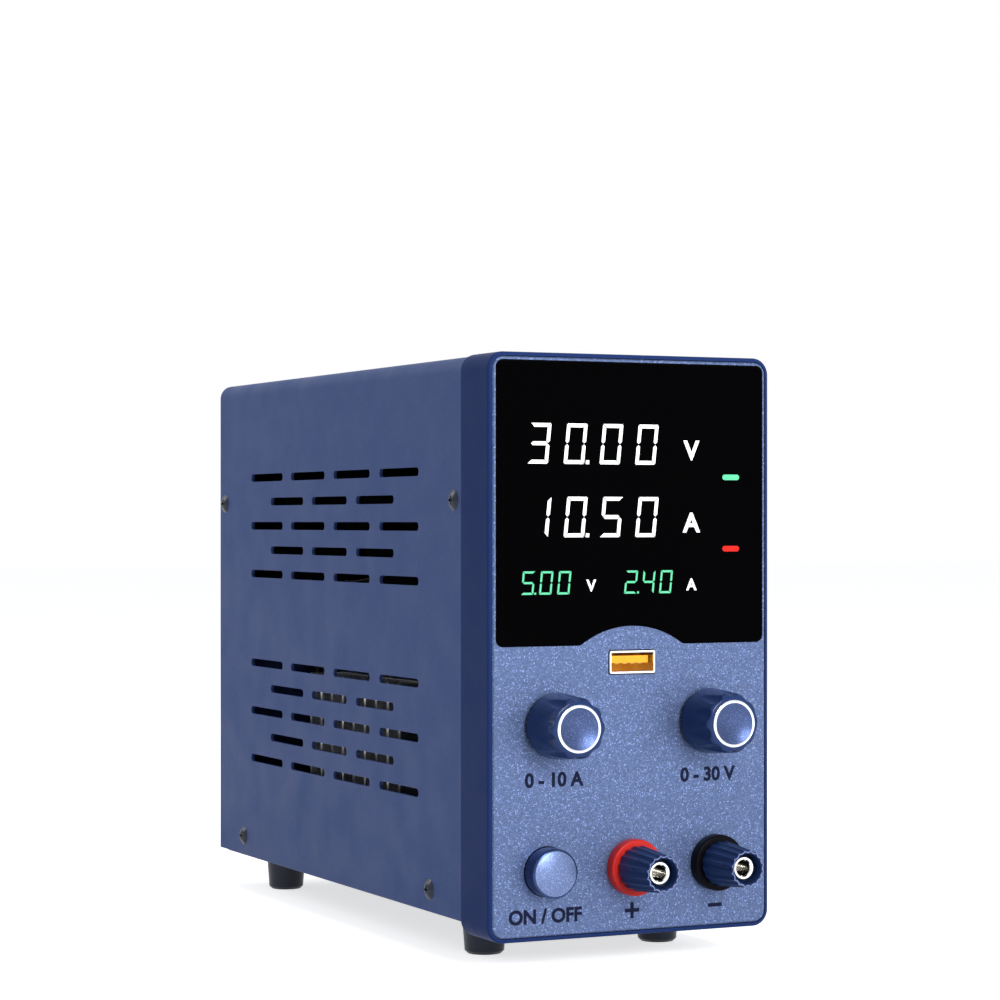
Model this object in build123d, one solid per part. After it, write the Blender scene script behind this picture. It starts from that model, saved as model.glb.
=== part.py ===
from build123d import *
import math
import os

# Lengths are in millimetres. X runs across the front, Y from the user to the back, Z up.
# A depth is counted back from the front face of the bezel, so pieces that stand in
# front of it have negative depths. A height is counted up from the bezel's underside.

# Case
body_width = 84.0
bezel_height = 153.7
bezel_depth = 16.9
bezel_corner = 4.5
bezel_edge = 0.9
bezel_wall = 2.0
web_thickness = 2.2
cover_length = 188.1
cover_step = 0.4
sheet = 1.0
seam = 0.1
ground_gap = 7.7
pan_rise = 3.0
pan_show = 1.0
pan_flange = 10.3
pan_bend = 1.6
fit_gap = 0.15
spigot_wall = 1.6
spigot_length = 8.0
spigot_overlap = 4.9
chin_length = 8.9
chin_inset = 5.0
chin_curve = 9.5

# Vent slots in both sides of the cover
slot_length = 27.4
slot_gap = 7.05
slot_height = 2.4
slot_row_pitch = 7.5
slot_row_count = 4
slot_upper_drop = 45.55
slot_lower_height = 50.25
slot_group_gap = 21.0

# Screws through the cover
screw_head_radius = 2.9
screw_head_height = 1.2
screw_radius = 1.4
screw_length = 5.0
screw_clearance = 0.2
upper_screw_drop = 38.5
upper_screw_front = 5.4
upper_screw_rear = 4.8
lower_screw_height = 9.9
lower_screw_front = 21.4
lower_screw_rear = 22.0
screw_boss_radius = 3.2
screw_boss_length = 3.5

# Feet
foot_inset = 15.3
foot_front = 18.1
foot_rear = 20.4
foot_top_radius = 6.15
foot_bottom_radius = 5.4
foot_edge = 0.8
foot_bore_radius = 3.6
foot_bore_depth = 5.0
foot_screw_head = 2.2
foot_screw_end = 3.4

# Front plate and lens
rim_width = 1.2
panel_groove = 0.15
panel_thickness = 2.5
panel_proud = 0.2
panel_edge = 0.4
panel_corner = 3.3
lens_margin = 2.15
lens_proud = 0.5
lens_edge = 0.3
lens_corner = 2.0
lens_gap = 0.1
lens_height = 74.55
lens_arch_rise = 5.0
lens_arch_half = 15.4
lens_arch_blend = 2.5
window_ledge = 2.5

# Places of the controls on the front, from the lens, the sides and the underside
knob_rise = 8.65
knob_inset = 19.1
usb_drop = 4.65
post_height = 18.1
post_inset = 16.8

# Knobs and their encoders
knob_reach = 14.6
knob_gap = 1.4
knob_rear_radius = 8.75
knob_front_radius = 8.05
knob_front_round = 1.5
knob_scoops = 10
knob_scoop_start = 5.6
knob_scoop_radius = 3.6
knob_scoop_depth = 1.0
knob_face_land = 0.3
knob_cap_rim = 0.5
knob_cap_thickness = 1.6
knob_dish_depth = 0.9
knob_nut_gap = 0.9
knob_bore_gap = 0.3
knob_push = 0.5
shaft_radius = 3.0
shaft_gap = 0.08
shaft_seat_gap = 0.02
shaft_front = 11.2
shaft_edge = 0.5
bush_radius = 3.5
bush_reach = 2.0
bush_hole_gap = 0.2
encoder_width = 12.0
encoder_height = 12.6
encoder_depth = 7.0
encoder_corner = 0.8
encoder_gap = 0.8
encoder_shaft_tail = 5.1
push_plate_radius = 4.0
push_plate_thickness = 0.8
encoder_nut_width = 10.0
encoder_nut_height = 1.8

# Control board behind the front, with its displays
board_thickness = 1.6
control_board_gap = 1.6
control_board_drop = 11.2
control_board_top_gap = 5.7
control_board_corner = 2.0
display_gap = 0.5
row_inset = 7.3
row_width = 46.0
row_height = 15.0
row_pitch = 19.2
row_rise = 33.7
small_row_rise = 16.5
small_row_inset = 6.9
small_row_gap = 11.3
small_row_width = 19.0
small_row_tall = 10.0
module_edge = 0.6
lamp_inset = 12.2
lamp_drop = 8.5
lamp_radius = 1.5
lamp_nose = 1.2
lamp_length = 5.0
board_boss_radius = 3.2
board_boss_side = 2.6
board_boss_end = 4.5
board_screw_head_radius = 2.6
board_screw_head_height = 1.6
board_screw_radius = 1.2
board_screw_length = 6.0

# Charging socket
usb_width = 13.6
usb_tall = 6.0
usb_wall = 0.5
usb_proud = 0.3
usb_cutout_gap = 0.3
usb_corner = 0.5
tongue_width = 11.2
tongue_thickness = 1.9
tongue_drop = 0.9
tongue_set_back = 1.8
tongue_root = 3.8

# Power button and switch
button_radius = 6.5
button_reach = 5.4
button_gap = 0.2
button_dome = 0.8
button_edge = 0.5
button_skirt = 3.2
button_travel = 2.6
button_stem_radius = 2.5
button_stem_gap = 0.15
switch_width = 17.0
switch_corner = 1.0
switch_depth = 19.0
switch_pocket = 6.5
switch_stem_room = 8.0
switch_tab_width = 4.0
switch_tab_thickness = 0.8
switch_tab_length = 6.0
switch_tab_pitch = 8.0

# Output posts
post_reach = 17.7
post_recess = 2.2
stem_radius = 3.15
socket_radius = 2.02
socket_depth = 16.0
socket_chamfer = 0.3
wire_hole_radius = 1.1
wire_hole_front = 1.7
collar_radius = 7.5
collar_height = 3.1
collar_edge = 0.6
collar_shank_radius = 4.0
collar_shank_gap = 0.1
stem_gap = 0.08
cap_gap = 0.3
cap_large_radius = 6.05
cap_tip_radius = 4.95
cap_tip_wall = 0.85
cap_tip_bore_depth = 4.6
cap_thread_gap = 0.08
cap_flutes = 16
cap_flute_radius = 1.25
cap_flute_depth = 0.45
washer_radius = 4.8
washer_thickness = 0.8
washer_play = 0.2
cap_travel = 3.0
insulator_radius = 7.0
insulator_height = 3.0
lug_radius = 5.2
lug_thickness = 0.8
lug_tail_width = 4.0
lug_tail_length = 9.0
post_nut_width = 10.0
post_nut_height = 4.0
stem_tail = 3.0

# Rear panel, fan and guard
rear_recess = 1.5
rear_flange = 9.0
rear_gap = 0.2
fan_top_gap = 4.0
fan_size = 60.0
fan_depth = 15.0
fan_corner = 4.0
fan_hole_inset = 5.0
fan_hole_radius = 2.1
fan_wall = 1.5
fan_motor_radius = 13.0
fan_motor_depth = 3.5
fan_strut_width = 3.0
fan_hub_radius = 12.5
fan_hub_depth = 10.2
fan_hub_edge = 1.2
fan_tip_gap = 1.1
fan_blades = 7
fan_blade_thickness = 1.1
fan_blade_root = 1.0
fan_blade_root_pitch = 42.0
fan_blade_root_width = 14.2
fan_blade_tip_pitch = 22.0
fan_blade_tip_width = 25.0
fan_blade_inset = 0.15
fan_axle_radius = 1.5
fan_axle_gap = 0.08
fan_running_gap = 0.6
guard_wire = 1.6
guard_ring_pitch = 8.5
guard_eye_radius = 3.1
guard_overlap = 0.2
fan_screw_radius = 1.7
fan_screw_head_radius = 3.0
fan_screw_head_height = 2.0
fan_screw_length = 12.0

# Mains inlet with its fuse drawer
inlet_low_gap = 6.0
inlet_flange_width = 50.0
inlet_flange_height = 33.0
inlet_flange_thickness = 2.0
inlet_flange_corner = 6.0
inlet_flange_edge = 0.6
inlet_body_width = 27.2
inlet_body_depth = 22.0
inlet_wall = 1.5
inlet_cavity_width = 24.2
inlet_cavity_height = 16.6
inlet_cavity_chamfer = 4.5
inlet_cavity_depth = 16.0
inlet_cavity_centre = 5.5
inlet_screw_spacing = 40.0
pin_width = 2.0
pin_height = 4.0
pin_pitch = 7.0
pin_rise = 4.0
pin_recess = 4.0
pin_edge = 0.6
pin_tail = 7.0
drawer_centre = -9.5
drawer_width = 22.4
drawer_height = 6.4
drawer_gap = 0.1
drawer_depth = 19.0
drawer_lip = 1.0
drawer_lip_width = 23.4
drawer_lip_height = 7.2
drawer_lip_corner = 1.0
drawer_lip_edge = 0.4
drawer_travel = 15.0
drawer_wall = 1.0
fuse_radius = 2.6
fuse_length = 20.0
fuse_cap_length = 5.0
fuse_cap_step = 0.3
inlet_screw_radius = 1.4
inlet_screw_head_radius = 2.8
inlet_screw_length = 6.0

# Line voltage selector
selector_width = 28.0
selector_tall = 13.0
selector_flange = 1.6
selector_corner = 2.0
selector_edge = 0.4
selector_body_width = 20.0
selector_body_tall = 10.0
selector_body_depth = 8.0
selector_pocket_width = 15.0
selector_pocket_tall = 7.0
selector_pocket_depth = 3.2
selector_slider_width = 8.6
selector_gap = 0.2
selector_slot_width = 1.2
selector_slot_depth = 0.8
selector_travel = 6.0

# Main board and what stands on it
standoff_height = 6.0
standoff_width = 5.5
main_board_side_gap = 2.5
main_board_front = 42.0
main_board_rear_gap = 30.5
standoff_inset = 4.0
parts_end_gap = 8.0
parts_gap = 2.0
can_gap = 1.0
core_width = 34.0
core_depth = 28.0
core_height = 30.0
core_leg = 8.0
core_side_gap = 1.2
winding_gap = 0.4
winding_overhang = 4.0
winding_corner = 2.0
bulk_radius = 11.0
bulk_height = 36.0
output_radius = 6.3
output_height = 21.0
can_edge = 0.9
sink_height = 52.0
sink_base = 3.0
sink_fin = 1.4
sink_fins = 9
sink_inset = 1.0
device_width = 15.6
device_height = 20.0
device_thickness = 4.8
device_lift = 6.0
device_pitch = 30.0
device_leg_width = 11.0
device_leg_thickness = 0.8
choke_outer = 9.5
choke_inner = 4.0
choke_height = 12.0
choke_edge = 2.0
filter_width = 13.2
filter_depth = 15.0
filter_foot = 4.0
filter_coil_depth = 12.0
filter_coil_height = 16.0
filter_corner = 2.0

# Wires inside the case
lead_radius = 1.0
lead_bend = 6.0
lead_lug_inset = 2.0
lead_drop = 5.0
switch_lead_drop = 11.0
fan_lead_radius = 0.6
fan_lead_bend = 4.0
fan_lead_inset = 8.0
fan_lead_pitch = 2.0
ribbon_width = 12.0
ribbon_thickness = 0.9
ribbon_bend = 5.0
ribbon_rise = 8.0

# Values that follow from the sizes above
case_bottom = ground_gap + pan_rise
bezel_top = ground_gap + bezel_height
cover_top = bezel_top - cover_step
cover_half = body_width / 2 - cover_step
cover_bend = bezel_corner - cover_step
cover_start = bezel_depth + seam
cover_end = bezel_depth + cover_length
cover_inside = cover_half - sheet
cover_bottom = case_bottom + pan_show
pan_top = case_bottom + sheet
pan_half = cover_inside - seam
pan_end = cover_end - rear_recess - sheet - seam
rear_face = cover_end - rear_recess
rear_inside = rear_face - sheet
web_front = panel_thickness - panel_proud
web_back = web_front + web_thickness
guard_face = rear_face + guard_wire
rear_reach = guard_face + fan_screw_head_height
front_y = post_reach - (post_reach + rear_reach) / 2
lens_bottom = bezel_height - lens_margin - lens_height
knob_height = (lens_bottom + post_height) / 2 + knob_rise
usb_height = lens_bottom - usb_drop
knob_places = {"current": knob_inset - body_width / 2, "voltage": body_width / 2 - knob_inset}
post_places = {"positive": 0.0, "negative": body_width / 2 - post_inset}
button_x = post_inset - body_width / 2
knob_cap_radius = knob_front_radius - knob_front_round - knob_face_land
knob_nut_room = encoder_nut_width / math.sqrt(3) + knob_nut_gap
cap_tip_bore = cap_tip_radius - cap_tip_wall
foot_spacing = body_width - 2 * foot_inset
foot_depths = (bezel_depth + foot_front, cover_end - foot_rear)

control_board_depth = web_back + encoder_gap + encoder_depth
control_board_width = body_width - 2 * (bezel_wall + control_board_gap)
control_board_bottom = knob_height - control_board_drop
control_board_top = bezel_height - control_board_top_gap
display_front = web_back + display_gap
small_row_height = lens_bottom + small_row_rise
row_heights = (lens_bottom + row_rise + row_pitch, lens_bottom + row_rise)
row_centre_x = row_inset + row_width / 2 - body_width / 2
small_row_start = small_row_inset + small_row_width / 2 - body_width / 2
small_row_places = (small_row_start, small_row_start + small_row_width + small_row_gap)
lamp_x = body_width / 2 - lamp_inset

fan_front = rear_inside - fan_depth
fan_height = cover_top - sheet - fan_top_gap - fan_size / 2 - ground_gap
fan_hole_pitch = fan_size - 2 * fan_hole_inset
fan_bore_radius = fan_size / 2 - fan_wall
fan_tip_radius = fan_bore_radius - fan_tip_gap
inlet_height = pan_top + inlet_low_gap + inlet_flange_height / 2 - ground_gap
inlet_top = inlet_height + inlet_flange_height / 2
selector_height = (inlet_top + fan_height - fan_size / 2) / 2

board_bottom = pan_top + standoff_height
board_top = board_bottom + board_thickness
main_board_width = 2 * (pan_half - sheet - main_board_side_gap)
main_board_end = rear_inside - main_board_rear_gap
choke_depth = main_board_front + parts_end_gap + choke_outer
bulk_depth = main_board_end - parts_end_gap - bulk_radius
sink_front = choke_depth + choke_outer + parts_gap
sink_end = bulk_depth - bulk_radius - parts_gap
sink_length = sink_end - sink_front
sink_outside = main_board_width / 2 - sink_inset
sink_face = core_width / 2 + core_side_gap + device_thickness
sink_fin_length = sink_outside - sink_face - sink_base
core_middle = (sink_front + sink_end) / 2
core_window = (core_width - 3 * core_leg) / 2
boss_places = [
    (side * (control_board_width / 2 - board_boss_side), height)
    for side in (-1, 1)
    for height in (control_board_bottom + board_boss_end, control_board_top - board_boss_end)
]


def above(height):
    """Z of a height counted from the bezel's underside."""
    return ground_gap + height


def facing(depth):
    """Upright plane at a depth, seen from the front, with local axes along X and Z."""
    return Plane(origin=(0, front_y + depth, 0), x_dir=(1, 0, 0), z_dir=(0, -1, 0))


def slab(outline, start, end):
    """Solid between two depths with an outline drawn in X and Z."""
    return extrude(facing(start) * outline, amount=start - end)


def rod(x, z, radius, start, end):
    """Round rod along Y between two depths."""
    return slab(Pos(x, z) * Circle(radius), start, end)


def turned(points, x, z):
    """Solid turned about a line along Y, from points of radius and depth."""
    lathe = Plane(origin=(x, front_y, z), x_dir=(1, 0, 0), z_dir=(0, 0, 1))
    profile = make_face(Polyline(*points, close=True))
    return revolve(lathe * profile, axis=Axis((x, front_y, z), (0, 1, 0)))


def block(x, depth, low, width, length, height):
    """Box centred on X and depth that stands on a given Z."""
    place = Pos(x, front_y + depth, low + height / 2)
    return place * Box(width, length, height)


def upright(x, depth, low, radius, height):
    """Round post along Z that stands on a given Z."""
    place = Pos(x, front_y + depth, low + height / 2)
    return place * Cylinder(radius, height)


def across(side, depth, z, radius, start, end):
    """Round rod along X on one side, between two distances from the middle."""
    plane = Plane(origin=(side * start, front_y + depth, z), x_dir=(0, 1, 0), z_dir=(side, 0, 0))
    return extrude(plane * Circle(radius), amount=end - start)


def hexagon(width):
    """Hexagon outline by its width across flats."""
    return RegularPolygon(width / math.sqrt(3), 6)


def front_outline(inset, corner):
    """Outline of the front, drawn in by an inset all round."""
    size = (body_width - 2 * inset, bezel_height - 2 * inset)
    return Pos(0, above(bezel_height / 2)) * RectangleRounded(*size, corner)


def lens_outline(inset=0.0):
    """Rounded window with an arch cut up into its lower edge."""
    top = bezel_height - lens_margin - inset
    low = lens_bottom + inset
    half = body_width / 2 - lens_margin - inset
    rise = lens_arch_rise
    reach = lens_arch_half + inset
    arch_radius = (reach**2 + rise**2) / (2 * rise)
    window = Pos(0, above((top + low) / 2)) * RectangleRounded(2 * half, top - low, lens_corner)
    window -= Pos(0, above(low + rise) - arch_radius) * Circle(arch_radius)
    ends = [v for v in window.vertices() if abs(abs(v.X) - reach) < 0.1]
    return fillet(ends, lens_arch_blend)


def cover_screw_places():
    """Depth and Z of the four screws in each side of the cover."""
    upper = above(bezel_height - upper_screw_drop)
    lower = above(lower_screw_height)
    return [
        (bezel_depth + upper_screw_front, upper),
        (cover_end - upper_screw_rear, upper),
        (bezel_depth + lower_screw_front, lower),
        (cover_end - lower_screw_rear, lower),
    ]


def top_cover():
    """Bent sheet that makes the top and both sides, with two groups of vent slots."""
    low = cover_bottom
    tall = cover_top - low + 2 * cover_bend
    centre = Pos(0, cover_top - tall / 2)
    profile = centre * RectangleRounded(2 * cover_half, tall, cover_bend)
    profile -= centre * RectangleRounded(2 * cover_inside, tall - 2 * sheet, cover_bend - sheet)
    profile -= Pos(0, low - tall / 2) * Rectangle(2 * body_width, tall)
    cover = slab(profile, cover_start, cover_end)
    cutters = []
    side_plane = Plane(origin=(-body_width, front_y, 0), x_dir=(0, 1, 0), z_dir=(1, 0, 0))
    middle = (cover_start + cover_end) / 2
    pitch = slot_length + slot_gap
    upper = bezel_height - slot_upper_drop
    rows = 1 + int((upper - slot_lower_height - slot_group_gap) // slot_row_pitch)
    for group in (upper, slot_lower_height):
        for row in range(rows):
            z = above(group) + (rows - 1 - 2 * row) * slot_row_pitch / 2
            count = slot_row_count - row % 2
            for index in range(count):
                depth = middle + (index - (count - 1) / 2) * pitch
                slot = Pos(depth, z) * SlotOverall(slot_length, slot_height)
                cutters.append(extrude(side_plane * slot, amount=2 * body_width))
    for depth, z in cover_screw_places():
        radius = screw_radius + screw_clearance
        hole = Pos(0, front_y + depth, z) * Rot(0, 90, 0) * Cylinder(radius, 2 * body_width)
        cutters.append(hole)
    return cover - cutters


def bottom_pan():
    """Floor sheet with a flange up each side, and a tongue that enters the bezel."""
    start = cover_start + seam
    tall = pan_flange + sheet
    trough = Pos(0, case_bottom + tall) * RectangleRounded(2 * pan_half, 2 * tall, pan_bend)
    inside = (2 * (pan_half - sheet), 2 * (tall - sheet), pan_bend - sheet)
    trough -= Pos(0, case_bottom + tall) * RectangleRounded(*inside)
    trough -= Pos(0, case_bottom + 1.5 * tall) * Rectangle(2 * body_width, tall)
    pan = slab(trough, start, pan_end)
    tongue_width = 2 * (pan_half - 2 * bezel_corner)
    tongue_start = bezel_depth - spigot_overlap
    tongue_length = start - tongue_start
    pan += block(0, tongue_start + tongue_length / 2, case_bottom, tongue_width, tongue_length, sheet)
    for depth, z in cover_screw_places()[2:]:
        radius = screw_radius + screw_clearance
        pan -= Pos(0, front_y + depth, z) * Rot(0, 90, 0) * Cylinder(radius, 2 * body_width)
    for x, depth in foot_places() + standoff_places():
        pan -= upright(x, depth, case_bottom, screw_radius + screw_clearance, sheet)
    return pan


def chin():
    """Lip below the pan that runs back from the bezel and rises in an S-curve."""
    start = bezel_depth - bezel_wall
    end = bezel_depth + chin_length
    half = (case_bottom + ground_gap) / 2
    middle = (bezel_depth + end) / 2
    side = Plane(origin=(chin_inset - body_width / 2, front_y, 0), x_dir=(0, 1, 0), z_dir=(1, 0, 0))
    sweep_down = RadiusArc((end, case_bottom - seam), (middle, half), chin_curve)
    sweep_out = RadiusArc((middle, half), (bezel_depth, ground_gap), -chin_curve)
    outline = [
        sweep_down,
        sweep_out,
        Line((bezel_depth, ground_gap), (start, ground_gap)),
        Line((start, ground_gap), (start, case_bottom)),
        Line((start, case_bottom), (end, case_bottom)),
        Line((end, case_bottom), (end, case_bottom - seam)),
    ]
    return extrude(side * make_face(outline), amount=body_width - 2 * chin_inset)


def spigot():
    """Inner rim of the bezel that the cover slides over, open at the bottom."""
    half = cover_inside - fit_gap
    top = cover_top - sheet - fit_gap
    low = pan_top + pan_flange + fit_gap
    corner = cover_bend - sheet
    tall = 2 * (top - low)
    centre = Pos(0, top - tall / 2)
    ring = centre * RectangleRounded(2 * half, tall, corner)
    inner = (2 * (half - spigot_wall), tall - 2 * spigot_wall, corner - spigot_wall / 2)
    ring -= centre * RectangleRounded(*inner)
    ring -= Pos(0, low - tall / 2) * Rectangle(2 * body_width, tall)
    return slab(ring, bezel_depth - spigot_overlap, bezel_depth + spigot_length)


def front_holes():
    """Outlines of the round holes for shafts, button and posts."""
    holes = [
        Pos(x, above(knob_height)) * Circle(bush_radius + bush_hole_gap)
        for x in knob_places.values()
    ]
    holes += [
        Pos(x, above(post_height)) * Circle(collar_shank_radius + collar_shank_gap)
        for x in post_places.values()
    ]
    holes.append(Pos(button_x, above(post_height)) * Circle(button_radius + button_gap))
    gap = 2 * usb_cutout_gap
    usb = RectangleRounded(usb_width + gap, usb_tall + gap, usb_corner + usb_cutout_gap)
    holes.append(Pos(0, above(usb_height)) * usb)
    return holes


def front_bezel():
    """Moulded frame with an inner web, bosses, a spigot for the cover and a chin."""
    shell = slab(front_outline(0, bezel_corner), 0, bezel_depth)
    shell = fillet(shell.faces().sort_by(Axis.Y)[0].edges(), bezel_edge)
    shell -= slab(front_outline(bezel_wall, bezel_corner - bezel_wall), web_back, bezel_depth)
    recess_inset = rim_width - panel_groove
    shell -= slab(front_outline(recess_inset, panel_corner + panel_groove), 0, web_front)
    shell -= slab(lens_outline(window_ledge), web_front, web_back)
    for hole in front_holes():
        shell -= slab(hole, web_front, web_back)
    for x, height in boss_places:
        boss = rod(x, above(height), board_boss_radius, web_back, control_board_depth)
        shell += boss - rod(x, above(height), board_screw_radius, web_back, control_board_depth)
    shell += spigot()
    shell += chin()
    depth, z = cover_screw_places()[0]
    for side in (-1, 1):
        outside = cover_inside - fit_gap
        inside = outside - spigot_wall - screw_boss_length
        shell += across(side, depth, z, screw_boss_radius, inside, outside - spigot_wall / 2)
        shell -= across(side, depth, z, screw_radius + screw_clearance, inside, outside)
    return shell


def front_panel():
    """Painted front plate, with openings for the lens and every control."""
    plate = slab(front_outline(rim_width, panel_corner), -panel_proud, web_front)
    plate = chamfer(plate.faces().sort_by(Axis.Y)[0].edges(), panel_edge)
    plate -= slab(lens_outline(-lens_gap), -panel_proud, web_front)
    for hole in front_holes():
        plate -= slab(hole, -panel_proud, web_front)
    return plate


def display_lens():
    """Dark window over the displays, seated on the web."""
    lens = slab(lens_outline(), -panel_proud - lens_proud, web_front)
    return chamfer(lens.faces().sort_by(Axis.Y)[0].edges(), lens_edge)


def control_board():
    """Upright board that carries the displays, encoders and charging socket."""
    tall = control_board_top - control_board_bottom
    middle = above((control_board_top + control_board_bottom) / 2)
    outline = Pos(0, middle) * RectangleRounded(control_board_width, tall, control_board_corner)
    board = slab(outline, control_board_depth, control_board_depth + board_thickness)
    for x, height in boss_places:
        hole = board_screw_radius + screw_clearance
        board -= rod(x, above(height), hole, control_board_depth, control_board_depth + board_thickness)
    return board


def display_module(x, height, width, tall):
    """Digit module with softened front edges, standing on the control board."""
    outline = Pos(x, above(height)) * Rectangle(width, tall)
    module = slab(outline, display_front, control_board_depth)
    return chamfer(module.faces().sort_by(Axis.Y)[0].edges(), module_edge)


def mode_lamps():
    """Two round-nosed lamps that show which limit is in force."""
    lamps = []
    for height in row_heights:
        nose = control_board_depth - lamp_length
        lamp = rod(lamp_x, above(height - lamp_drop), lamp_radius, nose, control_board_depth)
        lamps.append(fillet(lamp.faces().sort_by(Axis.Y)[0].edges(), lamp_nose))
    return lamps


def usb_shell():
    """Folded metal shell of the charging socket."""
    z = above(usb_height)
    start = -panel_proud - usb_proud
    outer = Pos(0, z) * RectangleRounded(usb_width, usb_tall, usb_corner)
    inner = Pos(0, z) * Rectangle(usb_width - 2 * usb_wall, usb_tall - 2 * usb_wall)
    return slab(outer - inner, start, control_board_depth)


def usb_tongue():
    """Plastic tongue inside the charging socket, with its backing block."""
    top = above(usb_height) + usb_tall / 2 - usb_wall - tongue_drop
    outline = Pos(0, top - tongue_thickness / 2) * Rectangle(tongue_width, tongue_thickness)
    start = -panel_proud - usb_proud + tongue_set_back
    tongue = slab(outline, start, control_board_depth)
    room = (usb_width - 2 * usb_wall, usb_tall - 2 * usb_wall)
    backing = Pos(0, above(usb_height)) * Rectangle(*room)
    return tongue + slab(backing, control_board_depth - tongue_root, control_board_depth)


def encoder_body(x):
    """Encoder housing with its threaded bush and a cavity for the push contact."""
    z = above(knob_height)
    start = control_board_depth - encoder_depth
    outline = Pos(x, z) * RectangleRounded(encoder_width, encoder_height, encoder_corner)
    body = slab(outline, start, control_board_depth)
    body += rod(x, z, bush_radius, -panel_proud - bush_reach, start)
    body -= rod(x, z, shaft_radius + shaft_gap, -panel_proud - bush_reach, encoder_shaft_tail + start)
    cavity_front = start + encoder_shaft_tail - 2 * shaft_gap
    cavity = push_plate_radius + shaft_gap
    return body - rod(x, z, cavity, cavity_front, control_board_depth)


def encoder_nut(x):
    """Hexagon nut that clamps the encoder's bush, hidden inside the knob."""
    outline = hexagon(encoder_nut_width) - Circle(bush_radius + screw_clearance / 4)
    place = Pos(x, above(knob_height)) * outline
    return slab(place, -panel_proud - encoder_nut_height, -panel_proud)


def encoder_shaft(x):
    """Shaft from the knob through the bush to the push contact."""
    tail = control_board_depth - encoder_depth + encoder_shaft_tail - shaft_gap
    shaft = rod(x, above(knob_height), shaft_radius, -shaft_front, tail)
    return chamfer(shaft.faces().sort_by(Axis.Y)[0].edges(), shaft_edge)


def push_plate(x):
    """Sliding plate that the shaft's end presses."""
    start = control_board_depth - encoder_depth + encoder_shaft_tail
    return rod(x, above(knob_height), push_plate_radius, start, start + push_plate_thickness)


def knob(x):
    """Tapered knob with a smooth skirt and scoops that deepen towards its face."""
    z = above(knob_height)
    rear = -knob_gap
    front = -knob_reach
    outline = [(0, front), (knob_front_radius, front), (knob_rear_radius, rear), (0, rear)]
    body = turned(outline, x, z)
    body = fillet(body.faces().sort_by(Axis.Y)[0].edges(), knob_front_round)
    taper = (knob_rear_radius - knob_front_radius) / (knob_reach - knob_gap)
    deepening = knob_scoop_depth / (knob_reach - knob_scoop_start)
    tilt = math.degrees(math.atan(taper + deepening))
    reach = knob_front_radius - knob_scoop_depth + knob_scoop_radius
    scoops = []
    for index in range(knob_scoops):
        scoop = Pos(0, 0, reach) * Rot(90 + tilt, 0, 0) * Cylinder(knob_scoop_radius, 4 * knob_reach)
        turn = Rot(0, index * 360 / knob_scoops, 0)
        scoops.append(Pos(x, front_y + front, z) * turn * scoop)
    body -= scoops
    body -= rod(x, z, knob_cap_radius + shaft_seat_gap, front, front + knob_cap_thickness)
    body -= rod(x, z, shaft_radius + shaft_seat_gap, -shaft_front - knob_bore_gap, rear)
    nut_room = -panel_proud - bush_reach - 2 * knob_push
    return body - rod(x, z, knob_nut_room, nut_room, rear)


def knob_cap(x):
    """Metal cap set in the knob's face, with a bright rim round a dished centre."""
    z = above(knob_height)
    front = -knob_reach
    cap = rod(x, z, knob_cap_radius, front, front + knob_cap_thickness)
    dish_edge = knob_cap_radius - knob_cap_rim
    ball_radius = (dish_edge**2 + knob_dish_depth**2) / (2 * knob_dish_depth)
    ball = Pos(x, front_y + front + knob_dish_depth - ball_radius, z) * Sphere(ball_radius)
    return cap - ball


def power_button():
    """Round button with a domed face, a skirt and a stem into the switch."""
    z = above(post_height)
    face = -panel_proud - button_reach
    skirt = web_front + button_skirt - panel_proud
    body = rod(button_x, z, button_radius, face, skirt)
    dome_radius = (button_radius**2 + button_dome**2) / (2 * button_dome)
    dome = Pos(button_x, front_y + face - button_dome + dome_radius, z) * Sphere(dome_radius)
    body += dome & rod(button_x, z, button_radius, face - button_dome, face)
    body = fillet(body.edges().filter_by(GeomType.CIRCLE).sort_by(Axis.Y)[0], button_edge)
    stem_end = web_back + switch_pocket + switch_stem_room - button_travel - 2 * button_stem_gap
    return body + rod(button_x, z, button_stem_radius, skirt, stem_end)


def power_switch():
    """Switch body on the back of the web, with a guide for the button and four tabs."""
    z = above(post_height)
    back = web_back + switch_depth
    outline = Pos(button_x, z) * RectangleRounded(switch_width, switch_width, switch_corner)
    body = slab(outline, web_back, back)
    body -= rod(button_x, z, button_radius + button_gap, web_back, web_back + switch_pocket)
    stem_room = web_back + switch_pocket + switch_stem_room
    body -= rod(button_x, z, button_stem_radius + button_stem_gap, web_back, stem_room)
    for x in switch_tab_places():
        for side in (-1, 1):
            place = Pos(x, z + side * switch_tab_pitch / 2)
            tab = place * Rectangle(switch_tab_thickness, switch_tab_width)
            body += slab(tab, back, back + switch_tab_length)
    return body


def switch_tab_places():
    """X of the two columns of tabs at the back of the switch."""
    return [button_x - switch_tab_pitch / 2, button_x + switch_tab_pitch / 2]


def post_collar(x):
    """Coloured collar on the panel, with a shank that insulates the stem."""
    bore = stem_radius + stem_gap
    front = -panel_proud - collar_height
    body = turned(
        [
            (bore, front),
            (collar_radius - collar_edge, front),
            (collar_radius, front + collar_edge),
            (collar_radius, -panel_proud),
            (collar_shank_radius, -panel_proud),
            (collar_shank_radius, web_back),
            (bore, web_back),
        ],
        x,
        above(post_height),
    )
    return body


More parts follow.
